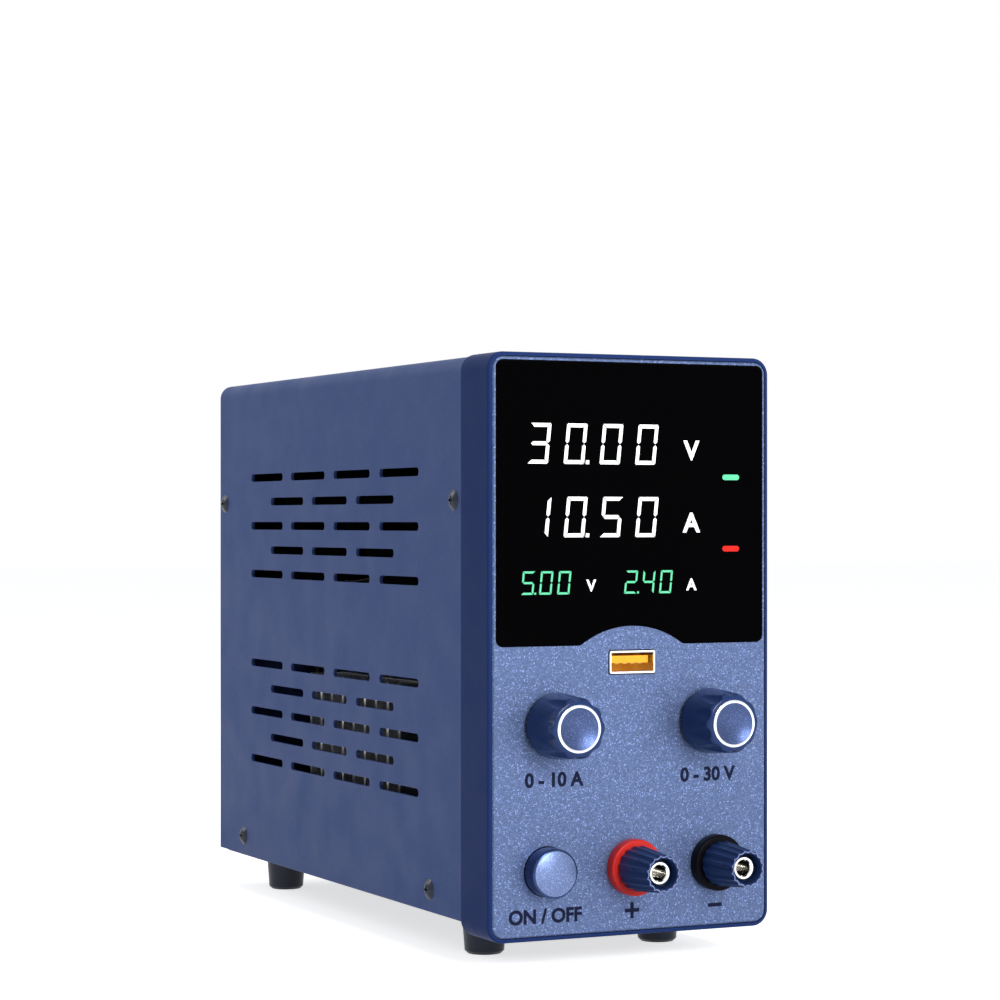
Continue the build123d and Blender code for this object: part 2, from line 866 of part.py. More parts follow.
def post_stem(x):
    """Plated stem with the plug socket in its end and a cross hole for bare wire."""
    z = above(post_height)
    front = post_recess - post_reach
    back = web_back + insulator_height + lug_thickness + post_nut_height + stem_tail
    stem = rod(x, z, stem_radius, front, back)
    stem = chamfer(stem.faces().sort_by(Axis.Y)[-1].edges(), socket_chamfer)
    stem -= turned(
        [
            (0, front),
            (socket_radius + socket_chamfer, front),
            (socket_radius, front + socket_chamfer),
            (socket_radius, front + socket_depth),
            (0, front + socket_depth + socket_radius / 2),
        ],
        x,
        z,
    )
    cross = -panel_proud - collar_height - wire_hole_front
    hole = Pos(x, front_y + cross, z) * Cylinder(wire_hole_radius, 4 * stem_radius)
    return stem - hole


def clamp_washer(x):
    """Pressure washer held in the cap's mouth, which doesn't turn with it."""
    front = -panel_proud - collar_height - washer_play - washer_thickness
    outline = Circle(washer_radius) - Circle(stem_radius + stem_gap)
    return slab(Pos(x, above(post_height)) * outline, front, front + washer_thickness)


def clamp_cap(x):
    """Tapered, fluted cap that screws along the stem and clamps a wire."""
    z = above(post_height)
    rear = -panel_proud - collar_height - cap_gap
    front = -post_reach
    room = rear - washer_thickness - washer_play
    bore = stem_radius + cap_thread_gap
    tip = front + cap_tip_bore_depth
    cap = turned(
        [
            (cap_tip_bore, front),
            (cap_tip_radius, front),
            (cap_large_radius, rear - collar_edge),
            (cap_large_radius - collar_edge, rear),
            (washer_radius + washer_play, rear),
            (washer_radius + washer_play, room),
            (bore, room),
            (bore, tip),
            (cap_tip_bore, tip),
        ],
        x,
        z,
    )
    length = rear - front
    slope = math.degrees(math.atan2(cap_large_radius - cap_tip_radius, length))
    ridge = (cap_large_radius + cap_tip_radius) / 2 - cap_flute_depth + cap_flute_radius
    flutes = []
    for index in range(cap_flutes):
        flute = Pos(0, 0, ridge) * Rot(90 + slope, 0, 0) * Cylinder(cap_flute_radius, 2 * length)
        turn = Rot(0, index * 360 / cap_flutes, 0)
        flutes.append(Pos(x, front_y + (front + rear) / 2, z) * turn * flute)
    return cap - flutes


def post_insulator(x):
    """Insulating washer between the web and the solder lug."""
    outline = Circle(insulator_radius) - Circle(stem_radius + stem_gap)
    return slab(Pos(x, above(post_height)) * outline, web_back, web_back + insulator_height)


def post_lug(x):
    """Ring lug with a tail that turns up for its lead."""
    z = above(post_height)
    start = web_back + insulator_height
    tail = Pos(0, lug_tail_length / 2) * Rectangle(lug_tail_width, lug_tail_length)
    outline = Circle(lug_radius) + tail - Circle(stem_radius + stem_gap)
    return slab(Pos(x, z) * outline, start, start + lug_thickness)


def post_nut(x):
    """Hexagon nut at the back of a post."""
    start = web_back + insulator_height + lug_thickness
    outline = hexagon(post_nut_width) - Circle(stem_radius + stem_gap)
    return slab(Pos(x, above(post_height)) * outline, start, start + post_nut_height)


def rear_panel():
    """Rear sheet with flanges at the sides and floor, and its cut-outs."""
    half = cover_inside - rear_gap
    low_half = pan_half - sheet - rear_gap
    top = cover_top - sheet - rear_gap
    flange_low = pan_top + pan_flange + rear_gap
    tall = top - flange_low
    corner = cover_bend - sheet - rear_gap
    outline = Pos(0, top - tall / 2) * RectangleRounded(2 * half, tall, corner)
    outline += Pos(0, flange_low + corner / 2) * Rectangle(2 * half, corner)
    low_tall = flange_low - pan_top
    outline += Pos(0, pan_top + low_tall / 2) * Rectangle(2 * low_half, low_tall)
    panel = slab(outline, rear_inside, rear_face)
    flange_tall = top - corner - flange_low
    middle = rear_inside - rear_flange / 2
    for side in (-1, 1):
        panel += block(side * (half - sheet / 2), middle, flange_low, sheet, rear_flange, flange_tall)
    panel += block(0, middle, pan_top, 2 * (low_half - standoff_width), rear_flange, sheet)
    depth, z = cover_screw_places()[1]
    place = Pos(0, front_y + depth, z) * Rot(0, 90, 0)
    panel -= place * Cylinder(screw_radius + screw_clearance, 2 * half)
    for cut in rear_cuts():
        panel -= slab(cut, rear_inside, rear_face)
    return panel


def rear_cuts():
    """Outlines of the openings in the rear panel, for fan, inlet and selector."""
    fan_z = above(fan_height)
    inlet_z = above(inlet_height)
    body = (inlet_body_width + 2 * drawer_gap, inlet_body_tall() + 2 * drawer_gap)
    selector = (selector_body_width + 2 * drawer_gap, selector_body_tall + 2 * drawer_gap)
    cuts = [
        Pos(0, fan_z) * Circle(fan_bore_radius),
        Pos(0, inlet_z + inlet_body_shift()) * Rectangle(*body),
        Pos(0, above(selector_height)) * Rectangle(*selector),
    ]
    cuts += [Pos(x, z) * Circle(fan_hole_radius) for x, z in fan_holes()]
    for side in (-1, 1):
        place = Pos(side * inlet_screw_spacing / 2, inlet_z)
        cuts.append(place * Circle(inlet_screw_radius + screw_clearance))
    return cuts


def fan_holes():
    """X and Z of the fan's four fixing holes."""
    reach = fan_hole_pitch / 2
    z = above(fan_height)
    return [(x, z + dz) for x in (-reach, reach) for dz in (-reach, reach)]


def fan_frame():
    """Square duct with a motor seat on four struts and an axle bush."""
    z = above(fan_height)
    outline = Pos(0, z) * RectangleRounded(fan_size, fan_size, fan_corner)
    frame = slab(outline, fan_front, rear_inside)
    frame -= rod(0, z, fan_bore_radius, fan_front, rear_inside)
    for x, hole_z in fan_holes():
        frame -= rod(x, hole_z, fan_hole_radius, fan_front, rear_inside)
    seat = rear_inside - fan_motor_depth
    frame += rod(0, z, fan_motor_radius, seat, rear_inside)
    for turn in (45, 135):
        strut = Rot(0, 0, turn) * Rectangle(2 * fan_bore_radius + fan_strut_width, fan_strut_width)
        frame += slab(Pos(0, z) * strut, seat, rear_inside)
    return frame - rod(0, z, fan_axle_radius + fan_axle_gap, seat, rear_inside)


def fan_rotor():
    """Hub with twisted blades and an axle that runs in the frame's bush."""
    z = above(fan_height)
    back = rear_inside - fan_motor_depth - fan_running_gap
    front = back - fan_hub_depth
    rotor = rod(0, z, fan_hub_radius, front, back)
    rotor = fillet(rotor.faces().sort_by(Axis.Y)[0].edges(), fan_hub_edge)
    blade = fan_blade() & slab(Circle(fan_tip_radius), front + fan_blade_inset, back - fan_blade_inset)
    for index in range(fan_blades):
        rotor += Pos(0, 0, z) * Rot(0, index * 360 / fan_blades, 0) * blade
    return rotor + rod(0, z, fan_axle_radius, back, rear_inside - fan_running_gap)


def fan_blade():
    """Twisted blade on a hub at Z 0, from a steep root to a flatter, wider tip."""
    middle = rear_inside - fan_motor_depth - fan_running_gap - fan_hub_depth / 2
    root = (fan_hub_radius - fan_blade_root, fan_blade_root_pitch, fan_blade_root_width)
    tip = (fan_tip_radius, fan_blade_tip_pitch, fan_blade_tip_width)
    sections = []
    for radius, pitch, width in (root, tip):
        station = Plane(origin=(radius, front_y + middle, 0), x_dir=(0, 1, 0), z_dir=(1, 0, 0))
        sections.append(station * Rot(0, 0, pitch) * Rectangle(fan_blade_thickness, width))
    return loft(sections)


def fan_guard():
    """Wire guard: rings on four arms, with an eye round each corner screw."""
    z = above(fan_height)
    wire = guard_wire / 2
    arm_y = front_y + rear_face + wire
    ring_y = arm_y + guard_wire - guard_overlap
    reach = fan_hole_pitch / math.sqrt(2)
    centre = Pos(0, ring_y, z) * Rot(90, 0, 0)
    guard = centre * Torus(guard_ring_pitch, wire)
    for index in range(2, 1 + int(fan_bore_radius // guard_ring_pitch)):
        guard += centre * Torus(index * guard_ring_pitch, wire)
    start = guard_ring_pitch - wire
    end = reach - guard_eye_radius - wire / 2
    for turn in (45, 135, 225, 315):
        place = Pos(0, arm_y, z) * Rot(0, turn, 0)
        guard += place * Pos((start + end) / 2, 0, 0) * Rot(0, 90, 0) * Cylinder(wire, end - start)
        guard += place * Pos(reach, 0, 0) * Rot(90, 0, 0) * Torus(guard_eye_radius, wire)
    return guard


def fan_screws():
    """Four screws from outside, through guard and panel into the fan."""
    screws = []
    for x, z in fan_holes():
        head = rod(x, z, fan_screw_head_radius, guard_face, rear_reach)
        head = fillet(head.faces().sort_by(Axis.Y)[-1].edges(), fan_screw_head_height / 2)
        screws.append(head + rod(x, z, fan_screw_radius, guard_face - fan_screw_length, guard_face))
    return screws


def inlet_body_tall():
    """Height of the inlet's body behind the panel."""
    top = inlet_cavity_centre + inlet_cavity_height / 2 + inlet_wall
    low = drawer_centre - drawer_height / 2 - inlet_wall
    return top - low


def inlet_body_shift():
    """How far the middle of the inlet's body lies above the middle of its flange."""
    top = inlet_cavity_centre + inlet_cavity_height / 2 + inlet_wall
    return top - inlet_body_tall() / 2


def inlet_body():
    """Mains inlet: flange, body, keyed cavity for the plug and a bay for the fuse drawer."""
    z = above(inlet_height)
    flange_outline = RectangleRounded(inlet_flange_width, inlet_flange_height, inlet_flange_corner)
    face = rear_face + inlet_flange_thickness
    body = slab(Pos(0, z) * flange_outline, rear_face, face)
    body = chamfer(body.faces().sort_by(Axis.Y)[-1].edges(), inlet_flange_edge)
    outline = Pos(0, z + inlet_body_shift()) * Rectangle(inlet_body_width, inlet_body_tall())
    back = rear_face - inlet_body_depth
    body += slab(outline, back, rear_face)
    body -= slab(inlet_cavity_outline(), face - inlet_cavity_depth, face)
    bay = Rectangle(drawer_width + 2 * drawer_gap, drawer_height + 2 * drawer_gap)
    body -= slab(Pos(0, z + drawer_centre) * bay, face - drawer_depth - 2 * drawer_gap, face)
    for x, dz in pin_places():
        slot = Pos(x, z + dz) * Rectangle(pin_width, pin_height)
        body -= slab(slot, back, face)
    for side in (-1, 1):
        x = side * inlet_screw_spacing / 2
        body -= turned(
            [
                (0, rear_face),
                (inlet_screw_radius + screw_clearance, rear_face),
                (inlet_screw_head_radius + screw_clearance, face),
                (0, face),
            ],
            x,
            z,
        )
    return body


def inlet_cavity_outline():
    """Plug-shaped outline, a rectangle with its two upper corners cut off."""
    half = inlet_cavity_width / 2
    z = above(inlet_height) + inlet_cavity_centre
    low = z - inlet_cavity_height / 2
    high = z + inlet_cavity_height / 2
    cut = inlet_cavity_chamfer
    points = [(-half, low), (half, low), (half, high - cut), (half - cut, high)]
    points += [(cut - half, high), (-half, high - cut)]
    return make_face(Polyline(*points, close=True))


def pin_places():
    """X and height of the three pins, counted from the middle of the flange."""
    low = inlet_cavity_centre - pin_rise / 2
    return [(-pin_pitch, low), (pin_pitch, low), (0, low + pin_rise)]


def inlet_pins():
    """Three flat pins with solder tails behind the inlet."""
    z = above(inlet_height)
    face = rear_face + inlet_flange_thickness
    pins = []
    for x, dz in pin_places():
        outline = Pos(x, z + dz) * Rectangle(pin_width, pin_height)
        pin = slab(outline, rear_face - inlet_body_depth - pin_tail, face - pin_recess)
        pins.append(chamfer(pin.faces().sort_by(Axis.Y)[-1].edges(), pin_edge))
    return pins


def inlet_screws():
    """Two countersunk screws that hold the inlet."""
    z = above(inlet_height)
    face = rear_face + inlet_flange_thickness
    screws = []
    for side in (-1, 1):
        screw = turned(
            [
                (0, face - inlet_screw_length),
                (inlet_screw_radius, face - inlet_screw_length),
                (inlet_screw_radius, rear_face + screw_clearance),
                (inlet_screw_head_radius, face),
                (0, face),
            ],
            side * inlet_screw_spacing / 2,
            z,
        )
        screws.append(screw)
    return screws


def fuse_drawer():
    """Drawer with a finger lip, open on top for the fuse that lies across it."""
    z = above(inlet_height) + drawer_centre
    face = rear_face + inlet_flange_thickness
    lip = Pos(0, z) * RectangleRounded(drawer_lip_width, drawer_lip_height, drawer_lip_corner)
    drawer = slab(lip, face, face + drawer_lip)
    drawer = chamfer(drawer.faces().sort_by(Axis.Y)[-1].edges(), drawer_lip_edge)
    drawer += slab(Pos(0, z) * Rectangle(drawer_width, drawer_height), face - drawer_depth, face)
    trough_front = face - drawer_depth + drawer_wall
    trough_width = fuse_length + drawer_gap
    trough_length = 2 * (fuse_radius + drawer_gap)
    floor = z - drawer_height / 2 + drawer_wall / 2
    middle = trough_front + trough_length / 2
    return drawer - block(0, middle, floor, trough_width, trough_length, drawer_height)


def fuse():
    """Glass cartridge fuse with its two end caps, lying in the drawer."""
    z = above(inlet_height) + drawer_centre
    face = rear_face + inlet_flange_thickness
    depth = face - drawer_depth + drawer_wall + drawer_gap + fuse_radius
    low = z - drawer_height / 2 + drawer_wall / 2 + drawer_gap + fuse_radius
    glass = fuse_length - 2 * fuse_cap_length
    place = Pos(0, front_y + depth, low) * Rot(0, 90, 0)
    body = place * Cylinder(fuse_radius - fuse_cap_step, glass)
    for side in (-1, 1):
        end = Pos(0, 0, side * (glass + fuse_cap_length) / 2)
        body += place * end * Cylinder(fuse_radius, fuse_cap_length)
    return body


def selector_body():
    """Line selector: flange and a recessed pocket that its slider runs in."""
    z = above(selector_height)
    face = rear_face + selector_flange
    flange = Pos(0, z) * RectangleRounded(selector_width, selector_tall, selector_corner)
    body = slab(flange, rear_face, face)
    body = chamfer(body.faces().sort_by(Axis.Y)[-1].edges(), selector_edge)
    back = Pos(0, z) * Rectangle(selector_body_width, selector_body_tall)
    body += slab(back, rear_face - selector_body_depth, rear_face)
    pocket = Pos(0, z) * Rectangle(selector_pocket_width, selector_pocket_tall)
    return body - slab(pocket, face - selector_pocket_depth, face)


def selector_slider():
    """Red slider with a screwdriver slot, resting at one end of the pocket."""
    z = above(selector_height)
    face = rear_face + selector_flange
    x = selector_gap + (selector_slider_width - selector_pocket_width) / 2
    outline = Pos(x, z) * Rectangle(selector_slider_width, selector_pocket_tall - 2 * selector_gap)
    slider = slab(outline, face - selector_pocket_depth + selector_gap, face)
    slot = Pos(x, z) * Rectangle(selector_slot_width, selector_pocket_tall)
    return slider - slab(slot, face - selector_slot_depth, face)


def case_screws():
    """Eight black screws, four in each side of the cover."""
    screws = []
    for depth, z in cover_screw_places():
        for side in (-1, 1):
            top = cover_half + screw_head_height
            head = across(side, depth, z, screw_head_radius, cover_half, top)
            rim = head.faces().sort_by(Axis.X)[-1 if side > 0 else 0].edges()
            head = fillet(rim, screw_head_height / 2)
            start = cover_half - screw_length
            screws.append(head + across(side, depth, z, screw_radius, start, cover_half))
    return screws


def foot(x, depth):
    """Tapered rubber foot with a recess for its screw."""
    y = front_y + depth
    lathe = Plane(origin=(x, y, 0), x_dir=(1, 0, 0), z_dir=(0, -1, 0))
    hole = screw_radius + screw_clearance
    points = [
        (hole, case_bottom),
        (foot_top_radius, case_bottom),
        (foot_bottom_radius, foot_edge),
        (foot_bottom_radius - foot_edge, 0),
        (foot_bore_radius, 0),
        (foot_bore_radius, foot_bore_depth),
        (hole, foot_bore_depth),
    ]
    profile = lathe * make_face(Polyline(*points, close=True))
    return revolve(profile, axis=Axis((x, y, 0), (0, 0, 1)))


def foot_places():
    """X and depth of the four feet."""
    return [(side * foot_spacing / 2, depth) for depth in foot_depths for side in (-1, 1)]


def foot_screw(x, depth):
    """Screw up through a foot and the pan."""
    head_low = foot_bore_depth - foot_screw_head
    length = pan_top + foot_screw_end - foot_bore_depth
    shank = upright(x, depth, foot_bore_depth, screw_radius, length)
    return shank + upright(x, depth, head_low, screw_head_radius, foot_screw_head)


def standoff_places():
    """X and depth of the posts under the main board."""
    x = main_board_width / 2 - standoff_inset
    depths = (main_board_front + standoff_inset, main_board_end - standoff_inset)
    return [(side * x, depth) for depth in depths for side in (-1, 1)]


def board_standoff(x, depth):
    """Hexagon post between the pan and the main board."""
    plane = Plane(origin=(x, front_y + depth, pan_top))
    outline = hexagon(standoff_width) - Circle(board_screw_radius + screw_clearance)
    return extrude(plane * outline, amount=standoff_height)


def board_screws():
    """Screws of the main board and of the control board."""
    screws = []
    for x, depth in standoff_places():
        head = upright(x, depth, board_top, board_screw_head_radius, board_screw_head_height)
        low = board_top - board_screw_length
        screws.append(head + upright(x, depth, low, board_screw_radius, board_screw_length))
    back = control_board_depth + board_thickness
    for x, height in boss_places:
        z = above(height)
        head = rod(x, z, board_screw_head_radius, back, back + board_screw_head_height)
        screws.append(head + rod(x, z, board_screw_radius - shaft_seat_gap, back - board_screw_length, back))
    return screws


def main_board():
    """Power board on its standoffs."""
    middle = (main_board_front + main_board_end) / 2
    length = main_board_end - main_board_front
    board = block(0, middle, board_bottom, main_board_width, length, board_thickness)
    for x, depth in standoff_places():
        board -= upright(x, depth, board_bottom, board_screw_radius + screw_clearance, board_thickness)
    return board


def transformer_core():
    """Ferrite core: two side legs and a centre leg joined at front and back."""
    core = block(0, core_middle, board_top, core_width, core_depth, core_height)
    tall = core_height - core_leg
    for side in (-1, 1):
        x = side * (core_leg + core_window) / 2
        core -= block(x, core_middle, board_top, core_window, core_depth, tall)
    return core


def transformer_winding():
    """Wound bobbin round the centre leg, standing out at front and back."""
    width = core_leg + 2 * (core_window - winding_gap)
    length = core_depth + 2 * winding_overhang
    height = core_height - core_leg - winding_gap
    bobbin = block(0, core_middle, board_top, width, length, height)
    bobbin = fillet(bobbin.edges().filter_by(Axis.Z), winding_corner)
    gap = 2 * shaft_seat_gap
    return bobbin - block(0, core_middle, board_top, core_leg + gap, core_depth + gap, core_height)


def capacitor(x, depth, radius, height):
    """Upright can with rounded ends."""
    can = upright(x, depth, board_top, radius, height)
    return fillet(can.faces().sort_by(Axis.Z)[-1].edges(), can_edge)


def heat_sink(side):
    """Extruded sink along one side of the board, with fins towards the vents."""
    base_x = side * (sink_face + sink_base / 2)
    sink = block(base_x, core_middle, board_top, sink_base, sink_length, sink_height)
    pitch = (sink_length - sink_fin) / (sink_fins - 1)
    for index in range(sink_fins):
        depth = sink_front + sink_fin / 2 + index * pitch
        fin_x = side * (sink_outside - sink_fin_length / 2)
        sink += block(fin_x, depth, board_top, sink_fin_length, sink_fin, sink_height)
    return sink


def power_devices():
    """Flat power packages bolted to the inner faces of the heat sinks."""
    devices = []
    count = 1 + int((sink_length - device_width) // device_pitch)
    low = board_top + device_lift
    for side in (-1, 1):
        x = side * (sink_face - device_thickness / 2)
        for index in range(count):
            depth = core_middle + (index - (count - 1) / 2) * device_pitch
            body = block(x, depth, low, device_thickness, device_width, device_height)
            legs = (device_leg_thickness, device_leg_width, device_lift)
            devices.append(body + block(x, depth, board_top, *legs))
    return devices


def output_choke():
    """Wound ring standing flat on the board."""
    ring = upright(0, choke_depth, board_top, choke_outer, choke_height)
    ring -= upright(0, choke_depth, board_top, choke_inner, choke_height)
    return fillet(ring.faces().sort_by(Axis.Z)[-1].edges(), choke_edge)


def line_filter():
    """Mains filter choke near the inlet, standing between the two large cans."""
    foot = block(0, bulk_depth, board_top, filter_width, filter_depth, filter_foot)
    size = (filter_width, filter_coil_depth, filter_coil_height)
    coil = block(0, bulk_depth, board_top + filter_foot, *size)
    return fillet(coil.edges().filter_by(Axis.Z), filter_corner) + foot


def lead(points, radius, bend):
    """Wire of one radius through points of X, depth and Z, with rounded bends."""
    path = FilletPolyline(*[(x, front_y + depth, z) for x, depth, z in points], radius=bend)
    start = Plane(origin=path @ 0, z_dir=path % 0)
    return sweep(start * Circle(radius), path=path)


def post_leads():
    """Two leads from the lugs of the output posts back to the main board."""
    start = web_back + insulator_height + lug_thickness
    z = above(post_height) + lug_tail_length - lead_lug_inset
    end = main_board_front + lead_drop
    points = [(start, z), (end, z), (end, board_top)]
    return [lead([(x, d, h) for d, h in points], lead_radius, lead_bend) for x in post_places.values()]


def switch_leads():
    """Two leads from the upper tabs of the power switch to the main board."""
    start = web_back + switch_depth + switch_tab_length
    z = above(post_height) + switch_tab_pitch / 2
    leads = []
    for x, drop in zip(switch_tab_places(), (switch_lead_drop, lead_drop)):
        end = main_board_front + drop
        leads.append(lead([(x, start, z), (x, end, z), (x, end, board_top)], lead_radius, lead_bend))
    return leads


def inlet_leads():
    """Three leads from the tails of the inlet's pins to the main board."""
    start = rear_face - inlet_body_depth - pin_tail
    end = main_board_end - lead_drop
    leads = []
    for x, dz in pin_places():
        z = above(inlet_height) + dz
        leads.append(lead([(x, start, z), (x, end, z), (x, end, board_top)], lead_radius, lead_bend))
    return leads


def fan_leads():
    """Two thin leads from the fan's frame down to the main board."""
    start = rear_inside - fan_depth
    end = main_board_end - lead_drop / 2
    z = above(fan_height - fan_size / 2) + fan_hole_inset / 2
    leads = []
    for index in (0, 1):
        x = fan_lead_inset - fan_size / 2 + index * fan_lead_pitch
        points = [(x, start, z), (x, end, z), (x, end, board_top)]
        leads.append(lead(points, fan_lead_radius, fan_lead_bend))
    return leads


def display_ribbon():
    """Flat ribbon from the back of the control board down to the main board."""
    start = control_board_depth + board_thickness
    end = main_board_front + lead_drop
    z = above(control_board_bottom) + ribbon_rise
    x = post_places["negative"] / 2
    points = [(x, front_y + start, z), (x, front_y + end, z), (x, front_y + end, board_top)]
    path = FilletPolyline(*points, radius=ribbon_bend)
    section = facing(start) * Pos(x, z) * Rectangle(ribbon_width, ribbon_thickness)
    return sweep(section, path=path)


def save(name, shape):
    """Write one node, or a group of separate solids, to its file."""
    solids = shape if isinstance(shape, list) else [shape]
    group = Compound(children=[s for piece in solids for s in piece.solids()])
    export_step(group, f"parts/{name}.step")


def main():
    """Build every piece and write it to its file."""
    os.makedirs("parts", exist_ok=True)
    save("top_cover", top_cover())
    save("bottom_pan", bottom_pan())
    save("front_bezel", front_bezel())
    save("front_panel", front_panel())
    save("display_lens", display_lens())
    save("control_board", control_board())
    large = [display_module(row_centre_x, height, row_width, row_height) for height in row_heights]
    save("main_displays", large)
    small = [display_module(x, small_row_height, small_row_width, small_row_tall) for x in small_row_places]
    save("usb_displays", small)
    save("mode_lamps", mode_lamps())
    save("usb_shell", usb_shell())
    save("usb_tongue", usb_tongue())
    save("encoders", [encoder_body(x) for x in knob_places.values()])
    save("encoder_nuts", [encoder_nut(x) for x in knob_places.values()])
    for name, x in knob_places.items():
        save(f"{name}_shaft", encoder_shaft(x))
        save(f"{name}_push_plate", push_plate(x))
        save(f"{name}_knob", knob(x))
        save(f"{name}_knob_cap", knob_cap(x))
    save("power_button", power_button())
    save("power_switch", power_switch())
    for name, x in post_places.items():
        save(f"{name}_collar", post_collar(x))
        save(f"{name}_clamp_washer", clamp_washer(x))
        save(f"{name}_clamp_cap", clamp_cap(x))
    save("post_stems", [post_stem(x) for x in post_places.values()])
    save("post_insulators", [post_insulator(x) for x in post_places.values()])
    save("post_lugs", [post_lug(x) for x in post_places.values()])
    save("post_nuts", [post_nut(x) for x in post_places.values()])
    save("rear_panel", rear_panel())
    save("fan_frame", fan_frame())
    save("fan_rotor", fan_rotor())
    save("fan_guard", fan_guard())
    save("fan_screws", fan_screws())
    save("inlet_body", inlet_body())
    save("inlet_pins", inlet_pins())
    save("inlet_screws", inlet_screws())
    save("fuse_drawer", fuse_drawer())
    save("fuse", fuse())
    save("selector_body", selector_body())
    save("selector_slider", selector_slider())
    save("case_screws", case_screws())
    save("feet", [foot(*place) for place in foot_places()])
    save("foot_screws", [foot_screw(*place) for place in foot_places()])
    save("board_standoffs", [board_standoff(*place) for place in standoff_places()])
    save("board_screws", board_screws())
    save("main_board", main_board())
    save("transformer_core", transformer_core())
    save("transformer_winding", transformer_winding())
    places = [side * (filter_width / 2 + can_gap + bulk_radius) for side in (-1, 1)]
    save("bulk_capacitors", [capacitor(x, bulk_depth, bulk_radius, bulk_height) for x in places])
    places = [side * (choke_outer + can_gap + output_radius) for side in (-1, 1)]
    save("output_capacitors", [capacitor(x, choke_depth, output_radius, output_height) for x in places])
    save("heat_sinks", [heat_sink(side) for side in (-1, 1)])
    save("power_devices", power_devices())
    save("output_choke", output_choke())
    save("line_filter", line_filter())
    leads = post_leads() + switch_leads() + inlet_leads() + fan_leads()
    save("wiring", leads + [display_ribbon()])


main()
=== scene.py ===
"""Dresses the bench power supply: finishes, lit digits, printed marks and the turned controls."""

import logging
import math
from dataclasses import dataclass, field
from enum import Enum
from typing import Callable, Iterable, Sequence

import bmesh
import bpy
from bmesh.types import BMesh
from mathutils import Matrix, Vector


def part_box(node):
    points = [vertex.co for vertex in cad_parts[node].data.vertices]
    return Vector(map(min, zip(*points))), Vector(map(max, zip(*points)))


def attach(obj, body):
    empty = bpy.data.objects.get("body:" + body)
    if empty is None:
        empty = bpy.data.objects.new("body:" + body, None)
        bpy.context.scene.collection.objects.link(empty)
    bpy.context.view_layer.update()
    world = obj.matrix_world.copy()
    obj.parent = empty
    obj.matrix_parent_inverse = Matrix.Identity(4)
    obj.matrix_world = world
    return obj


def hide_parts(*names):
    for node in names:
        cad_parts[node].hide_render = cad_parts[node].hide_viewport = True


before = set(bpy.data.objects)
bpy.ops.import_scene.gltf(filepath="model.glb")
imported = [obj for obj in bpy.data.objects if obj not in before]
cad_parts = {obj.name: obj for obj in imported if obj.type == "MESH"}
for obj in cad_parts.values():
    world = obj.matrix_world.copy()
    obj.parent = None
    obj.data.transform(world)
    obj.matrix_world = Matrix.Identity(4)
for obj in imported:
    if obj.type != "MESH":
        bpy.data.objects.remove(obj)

MM = 0.001
LOG = logging.getLogger("bench_supply")
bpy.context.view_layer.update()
SMOOTH_ANGLE = math.radians(32)
DISTANCE = "distance"
NOISE_RANGE = (0.3, 0.7)
COAT_ROUGHNESS = 0.15
PATCH_CELLS = 25
ROUGHNESS_SPREAD = 0.12
# The last flake stop is a painted glint: the brightest cells are coloured much lighter than the base colour.
PAINTED_GLINT_GAIN = 2.2
PAINTED_GLINT_LIFT = 0.03
FLAKE_AND_PAINTED_GLINT_STOPS = (0.0, 0.55, 0.88, 0.97)
BRUSHED_ALONG_X = (0.06, 1, 1)
WOUND_ROUND_Z = (0.05, 0.05, 1)

Colour = tuple[float, float, float]
Point = tuple[float, float]
Socket = bpy.types.NodeSocket


@dataclass(frozen=True)
class Grain:
    """Scale and strength of a fine pattern: cell size, relief height, its share and the colour's spread."""

    size: float
    relief: float
    share: float
    contrast: float


class Pattern(Enum):
    """The fine patterns that a finish can carry over its surface."""

    PLAIN = Grain(1.2 * MM, 0.0, 0.0, 0.03)
    POWDER = Grain(0.45 * MM, 0.020 * MM, 0.5, 0.10)
    # SPARKLE and SATIN finishes carry painted glints: their brightest cells are coloured lighter than the base.
    SPARKLE = Grain(0.28 * MM, 0.012 * MM, 0.5, 0.24)
    MOULDED = Grain(0.25 * MM, 0.006 * MM, 0.45, 0.08)
    SATIN = Grain(0.13 * MM, 0.010 * MM, 0.6, 0.16)
    TURNED = Grain(0.12 * MM, 0.003 * MM, 0.5, 0.05)
    BRUSHED = Grain(0.35 * MM, 0.004 * MM, 0.5, 0.06)
    WOUND = Grain(0.60 * MM, 0.080 * MM, 0.8, 0.22)


# Shading


